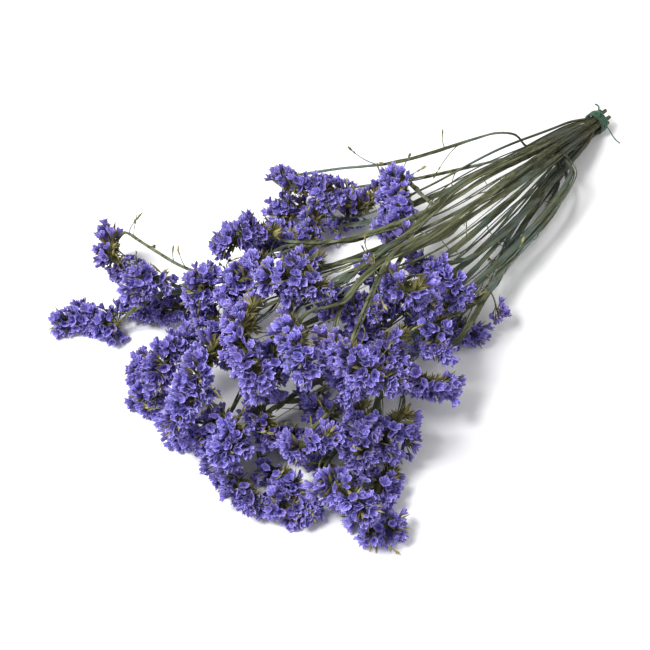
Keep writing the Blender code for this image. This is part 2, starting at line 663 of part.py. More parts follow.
def seat(made, stalk, way):
    """Slides the head along this way, back or forth, until it all but rests on its stalk."""
    for turn in range(12):
        graph = bpy.context.evaluated_depsgraph_get()
        own = BVHTree.FromObject(made, graph)
        wood = BVHTree.FromObject(stalk, graph)
        gap = min([wood.find_nearest(vertex.co)[3] for vertex in made.data.vertices]
                  + [own.find_nearest(vertex.co)[3] for vertex in stalk.data.vertices])
        step = -SEAT * MM if own.overlap(wood) else gap - SEAT * MM
        if 0 <= step < 0.05 * MM:
            break
        made.data.transform(Matrix.Translation(Vector(way) * step))


def build_head(layout, name, chain, florets, target, scratch, guides, violet):
    """One violet head: a slim core beside the stalk, with its calyces joined into it."""
    spine = layout.places[chain.spine()]
    core = spine + CORE_OFF * sides(spine, chain.head.faces)
    scales = [0.85] + [1] * (len(core) - 2) + [0.6]
    made = as_mesh(curve_object("bloom_" + name, core, scales, target, reach=CORE_REACH))
    others = [floret_object(floret, scratch) for floret in florets]
    unite(made, others, scratch, VIOLET_KEPT)
    back = -sides(spine, chain.head.faces).mean(axis=0)
    seat(made, bpy.data.objects["stem_" + chain.stem], back / np.linalg.norm(back))
    if min(vertex.co.z for vertex in made.data.vertices) < 0:
        press_flat(made, guides)
    made.data.materials.clear()
    made.data.materials.append(violet)
    return made


def build_tie(target, scratch, guides, green):
    """The elastic tie: three turns side by side round the stems, with a knot on top."""
    shape = bmesh.new()
    half = TIE_WIDTH / 2
    swell = TIE_OUTER - 0.9
    rim = ((-half, TIE_INNER), (-half, swell), (-3.3, TIE_OUTER), (-1.7, swell), (0, TIE_OUTER), (1.7, swell),
           (3.3, TIE_OUTER), (half, swell), (half, TIE_INNER))
    ring = [shape.verts.new((x * MM, 0, r * MM)) for x, r in rim]
    edges = [shape.edges.new(pair) for pair in zip(ring, ring[1:] + ring[:1])]
    bmesh.ops.spin(shape, geom=ring + edges, axis=(1, 0, 0), cent=(0, 0, 0), steps=20, angle=2 * math.pi,
                   use_merge=True)
    bmesh.ops.remove_doubles(shape, verts=shape.verts, dist=0.00001)
    bmesh.ops.recalc_face_normals(shape, faces=shape.faces)
    bmesh.ops.translate(shape, vec=to_frame((TIE_X, TIE_Y, TIE_Z)), verts=shape.verts)
    mesh = bpy.data.meshes.new("tie")
    shape.to_mesh(mesh)
    shape.free()
    made = new_object("tie", mesh, target)
    knot = [(TIE_X - 3, TIE_Y - 3, TIE_Z + 12), (TIE_X - 1, TIE_Y - 1, TIE_Z + 14),
            (TIE_X + 3, TIE_Y + 2, TIE_Z + 13.5)]
    ends = [(TIE_X + 1, TIE_Y + 1, TIE_Z + 13.5), (TIE_X + 6, TIE_Y + 5, TIE_Z + 17),
            (TIE_X + 8, TIE_Y + 11, TIE_Z + 15)]
    others = [as_mesh(curve_object("knot", knot, (1, 1.3, 0.9), scratch, reach=2.6, sides_of=8)),
              as_mesh(curve_object("end", ends, (1, 1, 0.9), scratch, reach=1.1, sides_of=6))]
    unite(made, others, scratch, 1.0)
    press_flat(made, guides)
    made.data.materials.clear()
    made.data.materials.append(green)
    return made


def smooth(made):
    made.data.polygons.foreach_set("use_smooth", [True] * len(made.data.polygons))


def main():
    for old in list(bpy.data.objects):
        bpy.data.objects.remove(old)
    bunch = bpy.data.collections.new("Dried statice")
    scratch = bpy.data.collections.new("joined")
    guides = bpy.data.collections.new("outlines")
    guides.hide_render = True
    for collection in (bunch, scratch, guides):
        bpy.context.scene.collection.children.link(collection)
    green = material("dried_stem", LEAF_GREEN, 0.8)
    violet = material("violet_calyx", CALYX_VIOLET, 0.75)
    elastic = material("green_elastic", TIE_GREEN, 0.7)
    layout = grow()
    untangle(layout)
    outline = winged_outline(guides)
    for stem in STEMS:
        smooth(build_stem(layout, stem.name, outline, bunch, scratch, green))
    chains = {chain.stem + "_" + chain.head.name: chain for chain in layout.chains}
    every = [floret for name, chain in chains.items() for floret in florets_of(name, layout, chain)]
    kept = with_room(every, layout)
    for name, chain in chains.items():
        own = [floret for floret in kept if floret.head == name]
        build_head(layout, name, chain, own, bunch, scratch, guides, violet)
    smooth(build_tie(bunch, scratch, guides, elastic))


main()
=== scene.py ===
"""The looks of a tied bunch of dried statice, lying on its side on a pale surface.

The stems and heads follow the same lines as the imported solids: each line is grown from the same named
points and eased apart in the same way. Lengths in the layout are in mm, and the scene is in metres.
"""

import math
import random
from collections import namedtuple

import bmesh
import bpy
import numpy as np
from mathutils import Matrix, Vector


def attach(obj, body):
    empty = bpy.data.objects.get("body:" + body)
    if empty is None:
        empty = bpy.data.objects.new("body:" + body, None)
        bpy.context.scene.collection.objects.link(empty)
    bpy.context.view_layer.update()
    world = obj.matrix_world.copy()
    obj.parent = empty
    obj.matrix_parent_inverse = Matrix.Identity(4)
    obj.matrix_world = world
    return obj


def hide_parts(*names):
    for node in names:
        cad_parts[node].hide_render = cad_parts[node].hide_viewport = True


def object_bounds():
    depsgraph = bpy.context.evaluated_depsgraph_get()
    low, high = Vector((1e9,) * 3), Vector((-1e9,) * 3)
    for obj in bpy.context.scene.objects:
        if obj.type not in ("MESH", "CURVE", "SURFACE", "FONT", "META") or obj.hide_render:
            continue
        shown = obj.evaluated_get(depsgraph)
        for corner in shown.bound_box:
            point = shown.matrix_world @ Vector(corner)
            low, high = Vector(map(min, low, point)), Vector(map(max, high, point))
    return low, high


bl_info = {
    "name": "Dried statice bunch",
    "version": (1, 0, 0),
    "blender": (4, 5, 0),
    "location": "3D View > Sidebar > Statice",
    "description": "Winged stems, papery violet heads and the tie of a dried statice bunch",
    "category": "Object",
}

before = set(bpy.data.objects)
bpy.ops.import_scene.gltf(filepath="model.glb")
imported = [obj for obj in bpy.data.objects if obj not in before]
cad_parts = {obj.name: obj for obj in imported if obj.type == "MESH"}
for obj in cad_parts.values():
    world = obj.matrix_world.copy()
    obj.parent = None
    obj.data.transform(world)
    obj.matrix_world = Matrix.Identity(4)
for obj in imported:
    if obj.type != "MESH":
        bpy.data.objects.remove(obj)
CAD_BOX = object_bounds()

MM = 0.001

# Where the middle of the bunch's box lies in the frame the points below are given in, in mm.
BUNCH_MIDDLE = (121.4, 25.7)

# The tie and the stems inside it, in mm.
TIE_X = 418.0
TIE_Y = 10.0
TIE_Z = 12.6
TIE_INNER = 10.4
TIE_OUTER = 13.0
TIE_WIDTH = 10.0
STEM_IN_TIE = 2.1
INNER_RING = 4.5
OUTER_RING = 7.8

# Half widths and gaps of the wood, in mm.
STEM_REACH = 3.2
BRANCH_REACH = 1.7
SPINE_REACH = 1.5
GAP = 1.0
# While lines ease apart, each turn leaves this share of their sideways shift, for this share of the turns.
HOMEWARD = 0.992
CROWDED_SHARE = 0.8
# How lines are pushed apart: turns, how often neighbours are looked for and how near they are, how strongly
# they push, how fast low heads sink, and how softly the lines bend at first and at last.
ROUNDS = 600
LOOK_EVERY = 8
NEAR = 6
PUSH = 1.2
SINK = 0.5
SOFT = (0.35, 0.08)
WAY_STEP = 28.0
BRANCH_STEP = 24.0
SPINE_STEP = 12.0
# The straight run into a head's stalk, for a stem's first head and for the others, in mm.
STEM_LEAD = 14
BRANCH_LEAD = 13
# The first point of a stem that a branch may leave, and how straight ahead its head lies from there (cosine).
FIRST_FORK = 5
AHEAD = 0.88

# The violet body of a head, measured out from its spine, in mm.
CORE_OFF = 5.0
VIOLET_OFF = 9.0
VIOLET_REACH = 15.0
LONGER = 1.2
PRESSED = 3.0

Head = namedtuple("Head", "name spine faces via", defaults=((),))
Stem = namedtuple("Stem", "name ring angle way heads")

# Each stem: its place in the tie (ring and angle), its way from the tie in cm, and its heads.
# The first head ends the stem, and the others stand on branches. A head gives the middle line of its
# violet spike, base first, in cm, the side its calyces face, and points its branch passes on the way.
STEMS = (
    Stem("arm", INNER_RING, 120, ((23.5, -0.5, 5), (12, 2, 4.2), (2, 5, 3.6), (-5.5, 9, 3),
                                  (-11, 14.5, 2.4)), (
        Head("tip", ((-14.5, 16, 1.6), (-15, 18, 1.5), (-16.5, 19, 1.4)), (-1, -0.2, 0.7)),
        Head("mid", ((-8.5, 10.5, 3.2), (-10, 12.5, 2.6), (-11.5, 15, 2)), (-0.8, -0.6, 0.4)),
        Head("knob", ((-10, 13, 5), (-10.5, 14, 5.2), (-11.5, 13.5, 5)), (-0.3, 0.3, 0.9)),
        Head("twig", ((-9.5, 22, 4), (-10.5, 21, 3.6), (-10.5, 20, 3.2)), (-1, 0, 0.3),
             ((-6.5, 13, 4.6), (-7.5, 18.5, 4.6))),
        Head("face", ((-6, 10, 6.5), (-7, 10, 6.8), (-8, 9.5, 6.4)), (-0.4, 0.3, 0.9)),
    )),
    Stem("left", INNER_RING, 0, ((24, 0.5, 6), (13.5, 1.5, 6), (5, 4.5, 5.4), (1, 8, 5)), (
        Head("big", ((0, 9.5, 6), (-1.5, 10.5, 6.4), (-3.5, 11, 6)), (-0.3, 0.5, 0.8)),
        Head("front", ((-3, 7.5, 6.5), (-4.5, 7, 6.8), (-6.5, 7, 6)), (-0.5, 0.1, 0.9)),
        Head("crown", ((2.5, 9.5, 5.5), (1.5, 10, 5.8), (0, 10, 5.6)), (0, 0.8, 0.7)),
        Head("low", ((-7, 5.5, 4.2), (-8.5, 6.5, 3.8), (-8.5, 9, 3.2)), (-0.9, -0.2, 0.5)),
    )),
    Stem("crest", OUTER_RING, 150, ((20.5, -2.5, 7), (9.5, -2.5, 8), (1.5, -0.5, 8.6), (-3.5, 0.5, 8.6)), (
        Head("comb", ((-7.5, 2.5, 9), (-9.5, 1.5, 9.4), (-11, -0.5, 9.4), (-11.5, -2.5, 9)), (-1, 0, 0.5)),
        Head("cup", ((-9, -1.5, 7.6), (-10, -3, 7.2), (-11, -2.5, 6.6)), (-0.7, -0.5, 0.5)),
        Head("dome", ((1, 4, 8), (-0.5, 4.5, 8.4), (-1.5, 4, 8)), (-0.3, 0.5, 0.9)),
        Head("bar", ((-2.5, -0.5, 9.2), (-3.5, 1, 9.6), (-4.5, 2.5, 9.2)), (-0.8, -0.2, 0.7)),
    )),
    Stem("low", 0, 0, ((21.5, -2, 4), (10.5, -2, 3.6), (-0.5, 0.5, 3.4), (-8.5, 2, 4.2)), (
        Head("pad", ((-11.5, 5.5, 4.6), (-13.5, 6, 4.6), (-15.5, 5.5, 4)), (-0.3, 0.2, 0.9)),
        Head("hook", ((-15, 10, 1.8), (-16.5, 8.5, 1.6), (-17, 7, 1.4), (-16, 5.5, 1.4)), (-1, 0.1, 0.6)),
        Head("long", ((-12, 3, 5.6), (-14, 2, 5.6), (-15.5, 1.5, 4.8), (-17, 1, 3.6)), (-0.3, 0.3, 0.9)),
        Head("foot", ((-16, 0, 1.8), (-17, 0.5, 1.5), (-17.5, 1.5, 1.4)), (-1, -0.3, 0.6)),
    )),
    Stem("sweep", INNER_RING, 240, ((21, -3, 3.4), (10.5, -3, 3), (-2, -3, 2.8), (-10, -2.5, 3)), (
        Head("mid", ((-14, -4, 2.4), (-14, -5.5, 2.2), (-14, -7.5, 1.8)), (-1, 0, 0.6)),
        Head("root", ((-15, -1, 3), (-13.5, -1.5, 3.6), (-13.5, -3, 3.4), (-15, -3.5, 3)), (0.2, -0.3, 0.9)),
        Head("tip", ((-14, -7.5, 2.2), (-13.5, -9, 2), (-15, -10, 1.6), (-14.5, -11, 1.4)),
             (-0.9, -0.5, 0.5)),
    )),
    Stem("under", INNER_RING, 300, ((20.5, -3.5, 2.4), (10.5, -4.5, 2.2), (1, -4.5, 2.6), (-7, -4.5, 3.2)), (
        Head("smile", ((-11.5, -3.5, 3.2), (-11.5, -5.5, 2.8), (-10.5, -6, 2.6), (-10.5, -7, 2.2)),
             (-1, -0.3, 0.4)),
        Head("ball", ((-8.5, -6.5, 4.2), (-8.5, -7.5, 4), (-9, -8, 3.6)), (-0.9, -0.2, 0.6)),
    )),
    Stem("fall", OUTER_RING, 210, ((33, -0.5, 3.6), (31.5, -3, 3.6), (26.5, -4.5, 3.4), (17.5, -6, 3.6),
                                   (9.5, -6.5, 4.2), (1.5, -7, 5.4), (-2.5, -9, 5.2), (-6, -10.5, 4.6)), (
        Head("brow", ((-10.5, -10, 2.8), (-10.5, -11, 2.8), (-10, -12.5, 2.6)), (-1, -0.1, 0.5)),
        Head("cheek", ((-11.5, -12.5, 2), (-11, -14, 2), (-11, -15, 1.8)), (-1, -0.2, 0.6)),
        Head("chin", ((-11, -13.5, 1.3), (-10.5, -14.5, 1.4), (-9.5, -15, 1.4)), (-0.4, -1, 0.5)),
        Head("side", ((-8, -13, 2.4), (-9, -13, 2.6), (-10, -13.5, 2.2)), (0, -0.8, 0.7)),
    )),
    Stem("heart", OUTER_RING + 0.8, 90, ((21.5, -1.5, 8), (11, -2, 9.2), (3.5, -1, 9.8), (0, -2, 10)), (
        Head("curl", ((-5.5, -1, 9.8), (-6.5, -3, 10), (-7, -4.5, 9.6)), (-0.9, 0.1, 0.6)),
        Head("bloom", ((-5, -4, 9.4), (-6, -6, 10), (-6, -7.5, 9.6)), (-0.8, -0.1, 0.7)),
        Head("fan", ((-6, -8, 10.4), (-6.5, -9.5, 10.4), (-5.5, -11, 9.8)), (-0.8, -0.3, 0.6)),
    )),
    Stem("drop", OUTER_RING, 330, ((20, -4.5, 1.8), (8.5, -6, 2.2), (1, -7.5, 3.4)), (
        Head("body", ((-6, -9, 5.4), (-7, -10, 5), (-8, -11, 4.2)), (-0.5, -0.2, 0.9)),
        Head("shelf", ((-10, -9, 4.4), (-9, -9.5, 4.6), (-8, -10, 4.6)), (-0.6, 0.5, 0.6)),
        Head("edge", ((-4, -11.5, 4), (-5.5, -11.5, 4.2), (-6.5, -12, 3.6)), (-0.2, -0.8, 0.6)),
    )),
    Stem("high", OUTER_RING, 30, ((33, 2, 3.4), (22.5, 3, 5), (15.5, 5.5, 4.4), (10.5, 8, 3.6)), (
        Head("knot", ((8.5, 13.5, 2.6), (7, 14, 2.4), (6, 13.5, 2.2)), (-0.2, 0.8, 0.6)),
        Head("tip", ((9, 15.5, 3), (9.5, 14, 3), (10.5, 13, 3.2), (10, 11.5, 3.2)), (0.8, 0.4, 0.6),
             ((28, 4, 6.5), (18.5, 8.5, 5), (13, 13.5, 3.4))),
        Head("row", ((12, 12.5, 3.6), (12.5, 10.5, 3.8), (12, 9, 4), (14, 9, 4)), (0.6, 0.2, 0.8),
             ((26, 2, 6), (18.5, 8.5, 3.4))),
        Head("plume", ((8.5, 11.5, 3.8), (7, 10.5, 3.8), (5, 9.5, 3.6)), (-0.4, 0.3, 0.9)),
    )),
    Stem("ridge", INNER_RING, 60, ((24, 0.5, 7.2), (17, 1, 7.8), (11, 0, 8), (6.5, -0.5, 8.8)), (
        Head("blaze", ((-1, -1, 9), (0, -2, 9.2), (0.5, -3, 9)), (-0.9, -0.3, 0.6)),
        Head("mane", ((15, 6.5, 6), (13.5, 4.5, 6.4), (12.5, 3, 6.2), (11, 3, 5.6)), (-0.6, 0.6, 0.7)),
        Head("twin", ((4.5, -1, 8.4), (4.5, -2.5, 8.2), (3, -3, 7.8)), (-0.5, 0.1, 0.9)),
        Head("moon", ((3.5, -4, 8.8), (3.5, -5.5, 9), (4.5, -5.5, 8.8)), (-0.6, -0.6, 0.6)),
    )),
    Stem("flank", INNER_RING, 180, ((22.5, -3.5, 4.8), (14.5, -4, 5.8), (10.5, -3, 6.2)), (
        Head("flame", ((5.5, -6, 6.8), (4.5, -7.5, 6.8), (3.5, -8.5, 6.4)), (-0.6, -0.3, 0.8)),
        Head("saddle", ((8, -2.5, 6.6), (8, -4.5, 6.6), (8, -6, 6)), (-0.7, -0.1, 0.8)),
        Head("wing", ((7.5, -6.5, 2.6), (9, -7, 2.4), (10, -8, 2)), (0.4, -0.9, 0.5),
             ((21, -4, 3), (13.5, -7.5, 2.4))),
    )),
    Stem("rear", OUTER_RING, 270, ((35, 0.5, 2.2), (31.5, -3, 2.2), (25, -5, 2.2), (18.5, -5.5, 2.2),
                                   (12, -7, 2.2), (5, -8.5, 2.6)), (
        Head("skirt", ((-0.5, -8, 4.4), (-0.5, -9.5, 4), (1, -10.5, 3.4)), (-0.7, -0.7, 0.4)),
        Head("cluster", ((1, -4, 7.6), (0, -5.5, 7.8), (-0.5, -6.5, 7.4)), (-0.9, -0.1, 0.6)),
        Head("cap", ((2, -7.5, 6.8), (0.5, -7.5, 6.6), (0, -8, 6)), (-0.3, -0.6, 0.8)),
    )),
)

# The heads that lie on the surface, where the weight of the bunch presses their lowest calyces flat.
FEET = ("arm_tip", "low_hook", "low_foot", "sweep_tip", "fall_chin")

# What each point of a shape carries for its finish: how far out it lies, its fold, its copy's tone, its side.
LAYERS = ("reach", "fold", "tone", "side_x", "side_y")

# Points of a rod this near each other are made one, in metres.
MERGE = 0.000001

# A calyx from its throat to its rim and back in, for a width of 1: half width, height and how far out it is.
CALYX_RINGS = ((0.13, 0.26, 0.3), (0.5, 0.88, 1.0), (0.3, 0.66, 0.68))
CALYX_ROOT = -0.9
CALYX_THROAT = 0.34
CALYX_SIDES = 15
# Its lobes, their depth, their ruffles, and the chance in the ruffles, the rim and the hollow.
LOBES = 5
LOBE_DEPTH = 0.07
RUFFLE = 0.13
RUFFLE_CHANCE = 0.08
RIM_CHANCE = 0.09
HOLLOW_CHANCE = 0.04
# How much of its width a crumpled calyx keeps the other way.
SQUASH = (0.34, 0.85)
# How many different calyces there are, and their sizes.
CALYX_SHAPES = 10
CALYX_SIZES = (0.75, 1.2)

# A scale: how far up it is widest, and the widths of its foot and its widest place, for a width of 1.
SCALE_WIDEST = 0.35
SCALE_FOOT = 0.35
SCALE_HALF = 0.5
# Length, width and thickness of the scales among the calyces, in mm.
HEAD_SCALE = (10.5, 2.6, 0.9)
# Width and thickness of a stem's leaves and of the scales behind its heads, in mm.
LEAF_ACROSS = (4.6, 0.8)
BRACT_ACROSS = (2.6, 1.1)

# The half width of a head's core, in mm.
CORE_REACH = 3.6
# How far over the tie the point lies that the heads' bare sides face, in mm.
TIE_SIDE_LIFT = 120.0
# The least height of a calyx's throat over the surface, in metres.
LEAST_HEIGHT = 0.004
# How a head's rows lean to its ends, the chance in their lean and in their turn, in degrees, and its tip.
ROW_LEAN = 0.9
LEAN_CHANCE = 0.2
TURN_CHANCE = 9.0
TIP_LEAN = 1.6
TIP_TURNS = (-1.4, 0.0, 1.4)
# How far under the head's reach the calyces stand and the chance in it, and how far apart, in mm.
CLUSTER_DROP = 3.0
DROP_CHANCE = (-2.2, 1.6)
CALYX_APART = 2.6
CALYX_SUNK = 0.45
# The scales of a cluster and of a bare side: how many, and how far out in mm. Then their lean and sizes.
CLUSTER_SCALES = (4, 4.5)
BARE_SCALES = (9, 1.5)
SCALE_LEAN = 0.7
SCALE_SIZES = (0.8, 1.1)
# How much a head's own tone, its clusters' and its calyces' vary. The tone is partly the calyces' own colour
# and partly painted light: a high tone shows a head pale and bluish as if lit, a low tone dark purple as if
# in shade.
HEAD_TONE = 0.62
CLUSTER_TONE = 0.2
CALYX_TONE = 0.3

# A side shoot: how far along the branch it leaves, its way, its length, height and arch in mm, and its lean.
SPRIG_FROM = (0.58, 0.82)
SPRIG_ALONG = (-0.9, 0.3)
SPRIG_ASIDE = (-0.9, 0.9)
SPRIG_DROP = -0.5
SPRIG_LENGTH = (14.0, 27.0)
SPRIG_HEIGHT = 15.0
SPRIG_ARCH = 4.0
SPRIG_LEAN = 0.6

# The upper side of the cut across a stem, in mm: a ribbed middle and two thin wings. Then a branch's.
WINGED = ((3.1, 0.16), (2.1, 0.36), (1.25, 0.62), (0.95, 1.15), (0.4, 1.55), (-0.3, 1.3), (-0.8, 1.5),
          (-1.2, 0.75), (-2.1, 0.36), (-3.1, 0.16))
RIBBED = ((1.6, 0.2), (0.9, 0.5), (0.6, 1.05), (-0.2, 1.2), (-0.7, 0.85), (-0.9, 0.5), (-1.6, 0.2))
RIBBED_SCALE = 0.95
# The widest place of each outline, which the wood's half width sets.
WINGED_HALF = 3.1
RIBBED_HALF = 1.6
# A face that looks along the stems beyond this point is a cut end, in mm.
CUT_FROM = TIE_X + 9.0
CUT_FACING = 0.9

# Heights that strands and twigs stay between, in mm.
LOWEST_TWIG = 1.5
HIGHEST_TWIG = 138.0
# How far a strand bows out, in mm, and where it leaves its stem and comes back, as shares of its length.
STRAND_BOW = (7.0, 18.0)
BRANCH_BOW = (3.0, 7.0)
STRAND_LEAVES = (0.03, 0.15)
STRAND_MEETS = (0.6, 0.95)
# A twig's length and half width in mm, its steps, its spread from the stem, and its curl.
TWIG_LENGTH = (16.0, 40.0)
TWIG_REACH = 0.6
SPRIG_REACH = 1.2 * TWIG_REACH
TWIG_STEPS = 6
TWIG_SPREAD = 0.6
TWIG_CURL = 0.9
TWIG_TURN = 0.35
# The tuft at a twig's end: scales, their lean and sizes.
TUFT = 5
TUFT_LEAN = 0.8
TUFT_SIZES = (0.6, 1)
# The leaves at a fork: how many, how far apart in mm, their lean and sizes.
LEAVES = 3
LEAF_STEP = 2
LEAF_LEAN = 0.35
LEAF_SIZES = (0.6, 1.0)
# The comb of scales behind a head: mm from row to row, their turns about the stalk, their lean and sizes.
COMB_STEP = 3.6
COMB_TURNS = (-2.5, -1.9, -1.3, 1.3, 1.9, 2.5)
COMB_CHANCE = 0.25
COMB_OUT = 0.8
COMB_LEAN = (0.5, 1.2)
COMB_SIZES = (0.7, 1.15)

# The tie's cords, as points from its middle and a half width, in mm: two of the knot, then its loose ends.
TIE_CORDS = (
    (((-3, -4, 11), (-2, -2, 13.6), (1, 1, 14), (3, 4, 11.5)), 1.8),
    (((3, -4, 11.5), (1, -1, 14.5), (-2, 3, 12.5)), 1.6),
    (((1, 1, 13.5), (6, 5, 16.4), (8, 11, 15)), 0.9),
    (((-2, -8, 9), (1, -16, 1), (4, -25, -9.6), (4, -33, -11.4)), 0.6),
)

# The lights: name, place in metres, size and power. Then the even light around them.
LIGHTS = (("key", (-0.9, 0.5, 1.5), 0.7, 42.0), ("fill", (0.7, -1.2, 1.0), 1.2, 4.0))
AROUND = 0.52

# The camera's place about the bunch, in degrees, the point it looks at, in mm, and its row in the photo.
CAMERA_TURN = -44.0
CAMERA_TILT = 54.0
LOOKED_AT = (-12.7, 0.2, 30.0)
PHOTO_SIDE = 650
LOOKED_AT_ROW = 335


def spline(points, steps):
    """Points along a smooth curve through the ones given, a number of steps between each two."""
    points = [np.array(p, float) for p in points]
    points = [2 * points[0] - points[1]] + points + [2 * points[-1] - points[-2]]
    found = [points[1]]
    for before, start, end, after in zip(points, points[1:], points[2:], points[3:]):
        for step in range(1, steps + 1):
            t = step / steps
            found.append(0.5 * (2 * start + (end - before) * t
                                + (2 * before - 5 * start + 4 * end - after) * t * t
                                + (3 * start - before - 3 * end + after) * t ** 3))
    return np.array(found)


def evenly(points, spacing):
    """The same line with its points about this far apart."""
    along = np.concatenate([[0], np.cumsum(np.linalg.norm(np.diff(points, axis=0), axis=1))])
    count = max(2, round(along[-1] / spacing) + 1)
    places = np.linspace(0, along[-1], count)
    return np.stack([np.interp(places, along, points[:, axis]) for axis in range(3)], axis=1)


def directions(points):
    """The unit direction of the line at each of its points."""
    slope = np.gradient(points, axis=0)
    return slope / np.linalg.norm(slope, axis=1, keepdims=True)


def sides(points, faces):
    """The way the calyces face at each point: the head's own way, square to its line."""
    along = directions(points)
    faces = np.array(faces, float) / np.linalg.norm(faces)
    across = faces - along * (along @ faces)[:, None]
    lengths = np.linalg.norm(across, axis=1, keepdims=True)
    across = np.where(lengths > 0.25, across / np.maximum(lengths, 1e-6), faces)
    return across / np.linalg.norm(across, axis=1, keepdims=True)


class Chain:
    """One run of wood: its points' places in the layout's list, and the head it ends in."""

    def __init__(self, stem, head, first, count, spine_from, root):
        self.stem = stem
        self.head = head
        self.points = list(range(first, first + count))
        self.spine_from = spine_from
        self.root = root

    def spine(self):
        return self.points[self.spine_from:]


class Layout:
    """All the wood of the bunch, as lines of points with a half width each."""

    def __init__(self):
        self.places = []
        self.reach = []
        self.chains = []

    def add(self, stem, head, way, reach, spine, root=None):
        first = len(self.places)
        self.places += list(way) + list(spine)
        self.reach += list(reach) + [SPINE_REACH] * len(spine)
        self.chains.append(Chain(stem, head, first, len(way) + len(spine), len(way), root))
        return self.chains[-1]


def spine_of(head):
    """The line of the head's own stalk, behind its violet body."""
    drawn = np.array(head.spine) * 10
    drawn = drawn.mean(axis=0) + LONGER * (drawn - drawn.mean(axis=0))
    middle = evenly(spline(drawn, 6), SPINE_STEP)
    return middle - VIOLET_OFF * sides(middle, head.faces)


def add_stem(layout, stem):
    """The stem from its cut end through the tie, with its first head's stalk at the end."""
    turn = math.radians(stem.angle)
    y = TIE_Y + stem.ring * math.cos(turn)
    z = TIE_Z + stem.ring * math.sin(turn)
    cut = TIE_X + 13 + 3 * math.sin(2.3 * stem.angle + stem.ring)
    held = [(cut, y, z), (TIE_X + 6, y, z), (TIE_X - 8, y, z)]
    spine = spine_of(stem.heads[0])
    lead = spine[0] - STEM_LEAD * directions(spine)[0]
    way = [held[-1]] + [np.array(p) * 10 for p in stem.way] + [lead, spine[0]]
    loose = evenly(spline(way, 6), WAY_STEP)[1:-1]
    points = np.array(held + list(loose))
    grown = np.interp(-points[:, 0], (-TIE_X + 8, -TIE_X + 60), (STEM_IN_TIE, STEM_REACH))
    slender = np.interp(points[:, 0], (0, 150), (0.8, 1))
    return layout.add(stem.name, stem.heads[0], points, grown * slender, spine)


def fork_for(layout, trunk, taken, target):
    """The last free point of the stem from which the target lies ahead."""
    line = [layout.places[i] for i in trunk.points[:trunk.spine_from]]
    ahead = directions(np.array(line))
    found = None
    for place in range(FIRST_FORK, len(line)):
        way = target - line[place]
        if place not in taken and way @ ahead[place] > AHEAD * np.linalg.norm(way):
            found = place
    if found is None:
        free = [place for place in range(FIRST_FORK, len(line)) if place not in taken]
        found = min(free, key=lambda place: np.linalg.norm(target - line[place]))
    taken.add(found)
    return trunk.points[found], ahead[found]


def add_branch(layout, trunk, taken, head):
    """A branch from the stem to the head's stalk."""
    spine = spine_of(head)
    lead = spine[0] - BRANCH_LEAD * directions(spine)[0]
    via = [np.array(p) * 10 for p in head.via]
    root, ahead = fork_for(layout, trunk, taken, (via + [lead])[0])
    start = layout.places[root]
    leaving = start + 0.3 * np.linalg.norm((via + [lead])[0] - start) * ahead
    way = evenly(spline([start, leaving] + via + [lead, spine[0]], 6), BRANCH_STEP)[:-1]
    layout.add(trunk.stem, head, way, [BRANCH_REACH] * len(way), spine, root)


def grow():
    """The bunch's layout before its crossings are eased apart."""
    layout = Layout()
    for stem in STEMS:
        trunk = add_stem(layout, stem)
        taken = set()
        for head in stem.heads[1:]:
            add_branch(layout, trunk, taken, head)
    layout.places = np.array(layout.places)
    layout.reach = np.array(layout.reach)
    return layout


class Rods:
    """The layout as straight rods: two ends, an offset, a half width and what each belongs to."""

    def __init__(self, layout):
        ends, offs, reach, stem, head = [], [], [], [], []
        for number, chain in enumerate(layout.chains):
            for a, b in zip(chain.points, chain.points[1:]):
                ends.append((a, b))
                offs.append(((0, 0, 0), (0, 0, 0)))
                reach.append(max(layout.reach[a], layout.reach[b]))
                stem.append(chain.stem)
                head.append(-1 if b < chain.points[chain.spine_from] - 1 else number)
            spine = chain.spine()
            out = VIOLET_OFF * sides(layout.places[spine], chain.head.faces)
            for a, b, off_a, off_b in zip(spine, spine[1:], out, out[1:]):
                ends.append((a, b))
                offs.append((off_a, off_b))
                reach.append(VIOLET_REACH)
                stem.append(chain.stem)
                head.append(number)
        self.ends = np.array(ends)
        self.offs = np.array(offs, float)
        self.reach = np.array(reach)
        names = sorted(set(stem))
        self.stem = np.array([names.index(name) for name in stem])
        self.head = np.array(head)
        self.violet = self.reach == VIOLET_REACH

    def pairs(self, places):
        """The rods near enough to meet, leaving out those that may."""
        start = places[self.ends[:, 0]] + self.offs[:, 0]
        end = places[self.ends[:, 1]] + self.offs[:, 1]
        middle = (start + end) / 2
        size = np.linalg.norm(end - start, axis=1) / 2 + self.reach
        one, two = np.triu_indices(len(size), 1)
        apart = np.linalg.norm(middle[one] - middle[two], axis=1)
        near = apart < size[one] + size[two] + NEAR
        same_head = (self.head[one] == self.head[two]) & (self.head[one] >= 0)
        wood = ~self.violet[one] & ~self.violet[two] & (self.stem[one] == self.stem[two])
        keep = near & ~same_head & ~wood
        return one[keep], two[keep]


def closest(start_a, end_a, start_b, end_b):
    """How far along each of two rods the two come closest."""
    a, b, between = end_a - start_a, end_b - start_b, start_a - start_b
    aa, bb, ab = (a * a).sum(1), (b * b).sum(1), (a * b).sum(1)
    a_between, b_between = (a * between).sum(1), (b * between).sum(1)
    spread = aa * bb - ab * ab
    s = np.clip((ab * b_between - a_between * bb) / np.maximum(spread, 1e-6), 0, 1)
    t = np.clip((ab * s + b_between) / np.maximum(bb, 1e-6), 0, 1)
    s = np.clip((ab * t - a_between) / np.maximum(aa, 1e-6), 0, 1)
    return s, t


